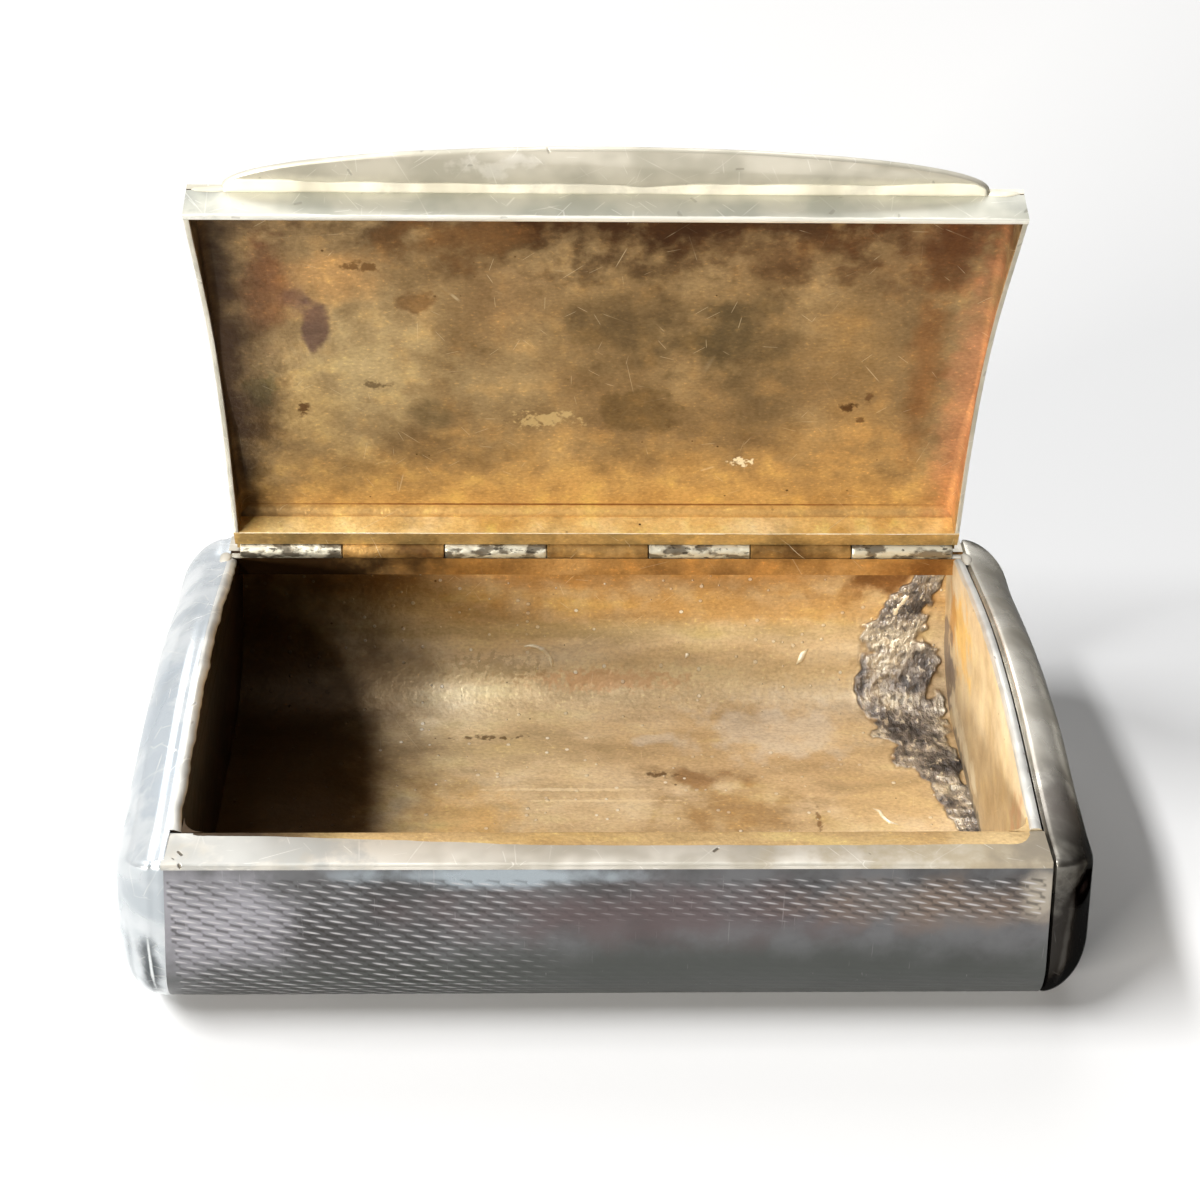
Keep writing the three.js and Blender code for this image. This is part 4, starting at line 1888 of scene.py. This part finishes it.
# Sterling rubbed by the lid: satin, warm to the right, with dark nicks
FRONT_RIM = PolishedSilver(
    "rubbed_silver_rim", ("#b4aea1", "#d9d4c9"), rough=0.34, nicks=1.0, scratches=0.35, metal=0.6,
    stains=(
        Stain((34, -21, 17.6), (28, 6, 3), "#a5977c", 0.9, 0.3, 0.15, 0.8, -0.4),
        Stain((36, -21, 17.6), (9, 6, 3), "#857c6d", 0.9, 0.3, 0.1, 0.7, -0.2),
        Stain((-27, -21, 17.6), (11, 6, 3), "#b0b0ac", 0.85, 0.5, 0.0, 0.7),
    ))

# Sterling behind the hinge, seldom rubbed: dull grey
BACK_LEDGE = PolishedSilver("rubbed_silver_ledge", ("#a19b8d", "#cfc9bb"), rough=0.3, nicks=0.4, metal=0.8)

# Worn edge of the end plates where the gilding has gone: pale satin silver
PLATE_EDGE = PolishedSilver("worn_silver_edge", ("#b6b5b0", "#e2e1da"), rough=0.34, nicks=0.4, metal=0.6)

# Sterling rubbed by the thumb: warm satin with a few bright flashes
LID_SILVER = PolishedSilver(
    "rubbed_silver_lid", ("#b3ae9e", "#d3cdbd"), body=Body.LID, rough=0.36, nicks=0.35, scratches=0.35,
    metal=0.6,
    stains=(
        Stain((-8, -22, 20.9), (3.4, 1.2, 1), "#efebe2", 0.4, 1.0, 0.0, 0.7),
        Stain((-24, -20.4, 20.9), (9, 0.9, 1), "#efe9d4", 0.7, 0.25, 0.0, 0.9),
        Stain((22, -20.4, 20.9), (11, 0.9, 1), "#efe9d4", 0.7, 0.25, 0.0, 0.9),
    ))

# Sterling band round the lid: cool satin, with a painted highlight along the lower edge and painted shade at
# both ends
LID_WALL = PolishedSilver(
    "rubbed_silver_band", ("#a5a599", "#c3c1b4"), body=Body.LID, rough=0.34, nicks=0.3, scratches=0.3,
    metal=0.65,
    stains=(
        # Painted highlight along the lower edge, then painted shade at both ends
        Stain((0, -19.6, 17.75), (60, 2, 0.32), "#f3f1e6", 0.9, 0.2, 0.0, 0.4),
        Stain((-34, -19.6, 19.5), (5, 2, 3), "#8f9089", 0.8, 0.5, 0.0, 0.8),
        Stain((34, -19.6, 19.5), (5, 2, 3), "#9c9c94", 0.7, 0.5, 0.0, 0.8),
    ))

# Filed silver solder: matt and almost white
SOLDER = PolishedSilver(
    "bright_solder", ("#c9c3ae", "#f2edd8"), body=Body.LID, rough=0.6, metal=0.15, scratches=0.0,
    stains=(
        Stain((-1, -20.6, 20.5), (12, 3, 3), "#bdb8a8", 0.8, 0.5, 0.0, 0.9),
        Stain((-16, -20.6, 20.5), (2.4, 3, 3), "#c4bfae", 0.7, 0.6, 0.0, 0.8),
        Stain((20, -20.6, 20.5), (2.0, 3, 3), "#c4bfae", 0.7, 0.6, 0.0, 0.8),
        Stain((34, -20.6, 20.5), (3.0, 3, 3), "#cdc9bb", 0.7, 0.4, 0.0, 0.8),
        Stain((-34, -20.6, 20.5), (3.0, 3, 3), "#cdc9bb", 0.7, 0.4, 0.0, 0.8),
    ))

# Fire gilding, years of snuff over it: soft matt gold in bands, speckled, browned and bare in places, with a
# painted reflection along the back bend and painted shade at the left end
GILT_TROUGH = Gilding(
    "fire_gilding_worn", ("#ccb188", "#e6cea4", "#f4e3c2"), scuffs=0.45, specks=1.0, mottling=0.3,
    drawn=(3.0, 1.0, 0.8), cloud=6.0, crusted=True,
    stains=(
        Stain((0, 22.3, 14.8), (60, 3, 6.0), "#ac8046", 0.95, 0.2, 0.02, 0.9),
        Stain((14, 22.3, 10), (34, 3, 3.2), "#d3a560", 0.75, 0.3, 0.0, 0.9),
        Stain((-2, 22, 7.4), (50, 3, 1.6), "#c3b083", 0.6, 0.3, 0.0, 0.9),
        # Painted reflection: a light band along the back bend
        Stain((4, 20.8, 3.4), (50, 3, 1.8), "#f2d7a6", 0.85, 0.3, -0.06, 0.9),
        Stain((1, 20.6, 3.0), (9, 3, 1.0), "#d8a474", 0.6, 0.5, 0.0, 0.7),
        Stain((-13, 3, 0.7), (9, 8, 2), "#edc37e", 0.75, 0.35, 0.0, 0.9),
        Stain((-18, 12, 0.7), (9, 9, 2), "#b89e74", 0.6, 0.4, 0.05, 0.9),
        Stain((-6, 13, 0.7), (13, 4, 2), "#c8b188", 0.6, 0.4, 0.05, 0.9),
        Stain((17, 15.5, 1.0), (10, 6, 3), "#ece2cf", 0.85, 0.5, 0.1, 0.8),
        Stain((5, 14.2, 0.8), (3, 1.4, 2), "#ece2cf", 0.7, 0.6, 0.1, 0.7),
        Stain((9, 8.5, 0.7), (6, 2.2, 2), "#9a744a", 0.75, 0.5, 0.05, 0.8),
        Stain((12, 3.6, 0.7), (11, 5, 2), "#b3915f", 0.8, 0.4, 0.0, 0.9),
        Stain((5.7, 9, 0.7), (1.6, 0.5, 1), "#5c3f20", 0.8, 1.0, 0.05, 0.9),
        Stain((-9.9, 14.5, 0.7), (3.2, 0.35, 1), "#59401f", 0.8, 1.2, 0.05, 0.9),
        Stain((-2, 6.8, 0.7), (9, 0.25, 1), "#fbe9c2", 0.7, 0.5, 0.0, 0.5),
        Stain((1, 5.2, 0.7), (8, 0.2, 1), "#fbe9c2", 0.6, 0.5, 0.0, 0.5),
        Stain((-9, 21, 4), (4, 3, 1.0), "#a5875a", 0.4, 1.2, 0.05, 0.5),
        Stain((19.6, 1.2, 0.7), (0.25, 3.5, 1), "#7b5730", 0.7, 1.0, 0.05, 0.9),
        Stain((26, 5, 0.7), (6, 7, 2), "#e4c999", 0.8, 0.4, 0.0, 0.8),
        Stain((27.0, 22.3, 14.0), (5, 3, 4), "#6b4420", 0.8, 0.5, 0.0, 0.8),
    ),
    shade=(
        # Painted shade over the left of the back bend and the whole left end
        Stain((-19.5, 20, 2.8), (8, 7, 6), "#7a6142", 0.8, 0.1, 0.0, 0.9),
        Stain((-34, 2, 3), (24, 50, 30), "#3d2811", 0.94, 0.06, 0.0, 0.55),
    ))

# Gilding in the shaded end, painted dark brown to almost black, mostly as painted shade
GILT_LEFT = Gilding("fire_gilding_browned_and_painted_shade", ("#130b05", "#1e1208", "#33210f"), scuffs=0.2)

# Gilding under the hinge: deep brown gold, with painted shade at the left end
GILT_LEDGE = Gilding(
    "fire_gilding_ledge", ("#9d7442", "#b0844b", "#c59a60"), scuffs=0.2, cloud=6.0,
    stains=(
        Stain((30, 19, 16), (5, 4, 4), "#7a5126", 0.85, 0.4, 0.0, 0.8),
        Stain((-12, 19, 16), (6, 4, 4), "#94672e", 0.7, 0.3, 0.0, 0.9),
    ),
    # Painted shade at the left end
    shade=(Stain((-33, 19, 17), (24, 4, 6), "#241405", 0.97, 0.2, 0.0, 0.6),))

# Gilding in the lit end: pale gold with yellow and pink blooms
GILT_RIGHT = Gilding(
    "fire_gilding_bright", ("#c8b088", "#dcc8a3", "#e9dabb"), scuffs=0.3, mottling=0.2, rub=0.08, cloud=6.0,
    stains=(
        Stain((33, 13, 13), (3, 6, 5), "#f2c25e", 0.75, 0.5, -0.05, 0.6),
        Stain((33, 18, 12), (3, 2.4, 4), "#c98f45", 0.7, 0.6, 0.0, 0.6),
        Stain((33, 20, 5), (3, 5, 5), "#8d8078", 0.9, 0.6, 0.05, 0.4, 0.2),
        Stain((33, 9, 3.4), (3, 9, 2.2), "#f7ecd0", 0.8, 0.7, 0.0, 0.5),
        Stain((33, -15, 9), (3, 4, 9), "#cf9d78", 0.6, 0.6, 0.05, 0.6),
        Stain((33, 6, 0.9), (3, 12, 1.5), "#8f8577", 0.85, 0.6, 0.1, 0.4, 0.2),
    ))

# Gilding along the worn rim: thin, pale gold, with painted shade at the left
GILT_RIM = Gilding(
    "fire_gilding_rim", ("#b5945f", "#c6a572", "#d8b986"), scuffs=0.3, mottling=0.3,
    drawn=(3.0, 1.0, 1.0), cloud=6.0,
    stains=(
        Stain((29, -20, 17.6), (5, 6, 6), "#e2c592", 0.8, 0.4, 0.0, 0.8),
        Stain((-11, -20, 17.6), (6, 6, 6), "#d6b582", 0.8, 0.4, 0.0, 0.8),
    ),
    # Painted shade at the left end
    shade=(Stain((-34, -20, 17), (17, 9, 9), "#33251a", 0.95, 0.06, 0.0, 0.6),))

# Lifted gilding that catches the light: cream
LIFTED_GILT = Gilding(
    "lifted_gilding", ("#e6d6b2", "#f6ecd2", "#fffaf0"), scuffs=0.0, cloud=1.5, mottling=0.2)

# Gilt tubes of the hinge: brown gold
GILT_KNUCKLE = Gilding("gilt_hinge_tube", ("#6a4c2a", "#9a7846", "#c9a268"), body=Body.LID, cloud=3.0)

# Gilt bar beside the hinge: satin gold
GILT_BAR = Gilding("gilt_hinge_bar", ("#8f7b50", "#bb9b62", "#d6b172"), body=Body.LID, cloud=6.0, rough=0.4)

# Its upper face: the bar's gold painted lighter, as painted light where the lamps fall on it
GILT_BAR_TOP = Gilding(
    "gilt_hinge_bar_top", ("#e0b56c", "#f7d793", "#ffe7b4"), body=Body.LID, cloud=5.0, rough=0.4)

# Fire gilding inside the lid: olive and brown clouds over gold, reddened along the edges, lighter towards
# the hinge partly as painted bounce light, with painted shade below the front wall and along the left wall
GILT_LID = Gilding(
    "fire_gilding_lid", ("#846b49", "#9a8059", "#b3996e"), body=Body.LID, scuffs=0.35, mottling=0.3,
    stains=(
        # Lighter gold towards the hinge, partly the gilding's tone and partly painted bounce light
        Stain((1, 20, 20.8), (60, 15, 5), "#deb36f", 0.95, 0.2, -0.05, 0.8),
        Stain((-20, 0, 20.8), (10, 12, 4), "#d9c08e", 0.8, 0.3, 0.0, 1.0),
        Stain((-25, 5, 20.8), (4, 8, 4), "#d8b77c", 0.7, 0.3, 0.0, 0.9),
        Stain((-9, 2, 20.8), (6, 6, 4), "#b5a078", 0.5, 0.3, 0.0, 0.9),
        Stain((-8, -9, 20.8), (6, 7, 4), "#927450", 0.5, 0.3, 0.0, 0.9),
        Stain((2, -5, 20.8), (10, 8, 4), "#66553a", 0.85, 0.3, 0.03, 1.0),
        Stain((11, -4, 20.8), (7, 8, 4), "#554932", 0.85, 0.3, 0.03, 1.0),
        Stain((14, 4, 20.8), (6, 5, 4), "#736144", 0.6, 0.3, 0.03, 1.0),
        Stain((21, -3, 20.8), (5, 8, 4), "#97794d", 0.7, 0.3, 0.0, 1.0),
        Stain((22, 7, 20.8), (8, 6, 4), "#b8935c", 0.6, 0.3, 0.0, 1.0),
        # Painted shade below the front wall
        Stain((3, -20.5, 20.8), (46, 11.5, 6), "#3a200c", 0.96, 0.3, 0.03, 0.65),
        Stain((-12, -14.5, 20.8), (7, 3.2, 4), "#7d5c38", 0.75, 0.5, 0.0, 0.8),
        Stain((-22, -10.5, 20.8), (6, 4, 4), "#c69c66", 0.85, 0.35, 0.0, 0.8),
        # Dark brown below the front wall at the right, partly painted shade
        Stain((27, -14, 20.8), (9, 8, 4), "#5a3519", 0.85, 0.35, 0.0, 0.9),
        Stain((14, -13, 20.8), (9, 4, 4), "#674a2e", 0.6, 0.3, 0.0, 0.9),
        Stain((31.8, 3, 20.8), (3.4, 22, 5), "#c98f66", 0.85, 0.3, 0.0, 0.8),
        Stain((27.5, 0, 20.8), (2.4, 14, 4), "#8f6238", 0.7, 0.3, 0.0, 0.9),
        Stain((-27.4, -9, 20.8), (3.0, 8, 4), "#6f4329", 0.7, 0.35, 0.0, 0.8),
        Stain((-29, 2.2, 20.8), (1.8, 2.4, 4), "#6f6545", 0.8, 0.7, 0.03, 0.5),
        Stain((-25.0, -7.8, 20.8), (1.5, 2.4, 3), "#75584a", 0.6, 0.5, 0.05, 0.8),
        Stain((-23.9, -5.2, 20.8), (1.6, 3.4, 3), "#6d5449", 0.9, 0.35, 0.05, 0.4),
        Stain((-15.6, -8, 20.8), (2.2, 2.0, 3), "#7c5d3a", 0.8, 0.5, 0.05, 0.4),
        Stain((-19.6, -11.8, 20.8), (1.9, 0.5, 2), "#6b4a26", 0.8, 1.0, 0.05, 0.8),
        Stain((-14.4, 4.9, 20.8), (2.5, 2.4, 3), "#7f6c4c", 0.8, 0.4, 0.05, 0.6),
        Stain((3.4, 4.6, 20.8), (4.4, 3.4, 3), "#77613f", 0.85, 0.3, 0.0, 0.35),
        Stain((-4.7, 5.6, 20.8), (3, 1.1, 3), "#d9c08a", 0.7, 0.8, 0.0, 0.5),
        Stain((-25.6, 4.3, 20.8), (0.55, 1.1, 2), "#5d3d20", 0.9, 0.8, 0.05, 0.8),
        Stain((-19.2, 1.6, 20.8), (1.3, 0.6, 2), "#6f5a3e", 0.85, 0.9, 0.05, 0.9),
        Stain((21.5, 4.0, 20.8), (0.85, 0.55, 2), "#4d3016", 0.9, 0.8, 0.05, 0.7),
        Stain((23, 2.9, 20.8), (0.5, 0.9, 2), "#66472a", 0.8, 0.8, 0.05, 0.8),
        Stain((22.6, 5.6, 20.8), (0.45, 0.45, 2), "#6a4a2a", 0.8, 0.8, 0.05, 0.8),
        Stain((12.6, 10.9, 20.8), (0.9, 0.5, 2), "#fff3d2", 0.97, 1.0, 0.0, 0.5),
        Stain((0, 16.5, 20.8), (40, 0.16, 1), "#7a3f18", 0.8, 0.1, 0.05, 0.6),
    ),
    # Painted shade along the left wall
    shade=(Stain((-32.8, -2, 20.8), (6.6, 36, 6), "#2a1709", 0.93, 0.2, 0.0, 0.8),))


# Studio


@dataclass(frozen=True)
class Lamp:
    """A lit panel that shines on the box.

    Attributes:
        name: Its name.
        towards: Direction from the box to it.
        power: Its light in watts.
        size: Its width and height in metres.
        distance: How far it stands in metres.
        tone: Its colour.
        upright: Direction that its height follows.
    """

    name: str
    towards: Point
    power: float
    size: Flat
    distance: float = 2.0
    tone: str = "#ffffff"
    upright: Point = (0.0, 0.0, 1.0)

    def place(self) -> None:
        """Adds the lamp to the scene."""
        data = bpy.data.lights.new(self.name, "AREA")
        data.energy = self.power
        data.color = linear(self.tone)[:3]
        data.shape = "RECTANGLE"
        data.size, data.size_y = self.size
        lamp = bpy.data.objects.new(self.name, data)
        towards = Vector(self.towards).normalized()
        across = Vector(self.upright).cross(towards).normalized()
        axes = Matrix((across, towards.cross(across), towards)).transposed()
        lamp.location = towards * self.distance
        lamp.rotation_euler = axes.to_euler()
        bpy.context.scene.collection.objects.link(lamp)


LAMPS = (
    Lamp("window_key", (-0.68, -0.2, 1.0), 45.0, (0.2, 1.05), upright=(0.0, 1.0, 0.0)),
    Lamp("room_fill", (-0.68, -0.74, 0.23), 48.0, (0.8, 0.12), tone="#fffaf2"),
    Lamp("back_soft", (-0.05, 0.62, 0.78), 12.0, (1.4, 1.4)),
)


@dataclass
class Studio:
    """Pale floor, window light from the left, a dim room and the photograph's camera."""

    floor_half: float = 1.5
    floor_tone: str = "#e2e2e2"
    floor_glow: float = 0.03
    floor_drop: float = 0.02
    lens: float = 66.0
    sensor: float = 36.0
    clip_start: float = 0.005
    camera_place: Point = (-5.13, -148.49, 126.13)
    pitch: float = 33.99
    yaw: float = 1.85
    roll: float = 1.09
    bright_side: Point = (-0.42, 0.5, 0.72)
    room: tuple[tuple[float, str], ...] = (
        (0.15, "#1d1b1a"), (0.5, "#6f6c69"), (0.72, "#d5d5d5"), (0.9, "#ffffff"))
    room_dim: float = 0.04

    def build(self) -> None:
        """Sets the view, then adds the floor, lamps, world and camera."""
        bpy.context.scene.view_settings.view_transform = "Standard"
        self.floor()
        for lamp in LAMPS:
            lamp.place()
        self.world()
        self.camera()

    def seen(self, tree: bpy.types.NodeTree) -> Socket:
        """Tells what is seen from what only lights.

        Args:
            tree: The node tree.

        Returns:
            A socket that is 1 for what the camera, metal and glass see, and 0 for the rest.
        """
        path = add(tree, "LightPath")
        either = add(tree, "Math", {0: path.outputs["Is Camera Ray"], 1: path.outputs["Is Glossy Ray"]},
                     operation="MAXIMUM")
        return add(tree, "Math", {0: either.outputs[0], 1: path.outputs["Is Transmission Ray"]},
                   operation="MAXIMUM").outputs[0]

    def floor(self) -> None:
        """Adds a floor that shows white to the camera and to reflections, and keeps the shadow."""
        bm = bmesh.new()
        bmesh.ops.create_grid(bm, x_segments=1, y_segments=1, size=self.floor_half)
        bmesh.ops.translate(bm, vec=(0, 0, -self.floor_drop * MM), verts=bm.verts)
        mesh = bpy.data.meshes.new("floor")
        bm.to_mesh(mesh)
        bm.free()
        floor = bpy.data.objects.new("floor", mesh)
        bpy.context.scene.collection.objects.link(floor)
        material = bpy.data.materials.new("white_paper")
        material.use_nodes = True
        tree = material.node_tree
        tree.nodes.clear()
        glow = add(tree, "Math", {0: self.seen(tree), 1: self.floor_glow}, operation="MULTIPLY")
        light = add(tree, "Emission", {"Color": "#ffffff", "Strength": glow.outputs[0]})
        paper = add(tree, "BsdfDiffuse", {"Color": self.floor_tone})
        both = add(tree, "AddShader", {0: paper.outputs[0], 1: light.outputs[0]})
        add(tree, "OutputMaterial", {"Surface": both.outputs[0]})
        mesh.materials.append(material)

    def world(self) -> None:
        """Adds a room that metal sees bright towards the window, and that lights the box only dimly."""
        world = bpy.data.worlds.new("room")
        bpy.context.scene.world = world
        world.use_nodes = True
        tree = world.node_tree
        tree.nodes.clear()
        way = add(tree, "TexCoord").outputs["Generated"]
        towards = Vector(self.bright_side).normalized()
        facing = add(tree, "VectorMath", {0: way, 1: towards}, operation="DOT_PRODUCT")
        share = add(tree, "MapRange", {"Value": facing.outputs["Value"], "From Min": -1.0, "From Max": 1.0})
        ramp = add(tree, "ValToRGB", {0: share.outputs[0]}, stops=self.room)
        level = add(tree, "MapRange", {"Value": self.seen(tree), "To Min": self.room_dim, "To Max": 1.0})
        glow = add(tree, "Background", {"Color": ramp.outputs[0], "Strength": level.outputs[0]})
        add(tree, "OutputWorld", {"Surface": glow.outputs[0]})

    def camera(self) -> None:
        """Adds the camera at the photograph's place and angle."""
        data = bpy.data.cameras.new("photograph_view")
        data.sensor_width = self.sensor
        data.lens = self.lens
        data.clip_start = self.clip_start
        camera = bpy.data.objects.new("photograph_view", data)
        turn = Matrix.Rotation(math.radians(-self.yaw), 4, "Z")
        turn @= Matrix.Rotation(math.radians(90 - self.pitch), 4, "X")
        turn @= Matrix.Rotation(math.radians(self.roll), 4, "Z")
        camera.matrix_world = Matrix.Translation(Vector(self.camera_place) * MM) @ turn
        bpy.context.scene.collection.objects.link(camera)
        bpy.context.scene.camera = camera


def main() -> None:
    """Builds the box, the hinge, the lid and the studio."""
    logging.basicConfig(level=logging.INFO, format="%(name)s %(message)s")
    Studio().build()
    Trough().build()
    EndWalls().build()
    Rims().build()
    Hinge().build()
    Lid().build()


if __name__ == "__main__":
    main()
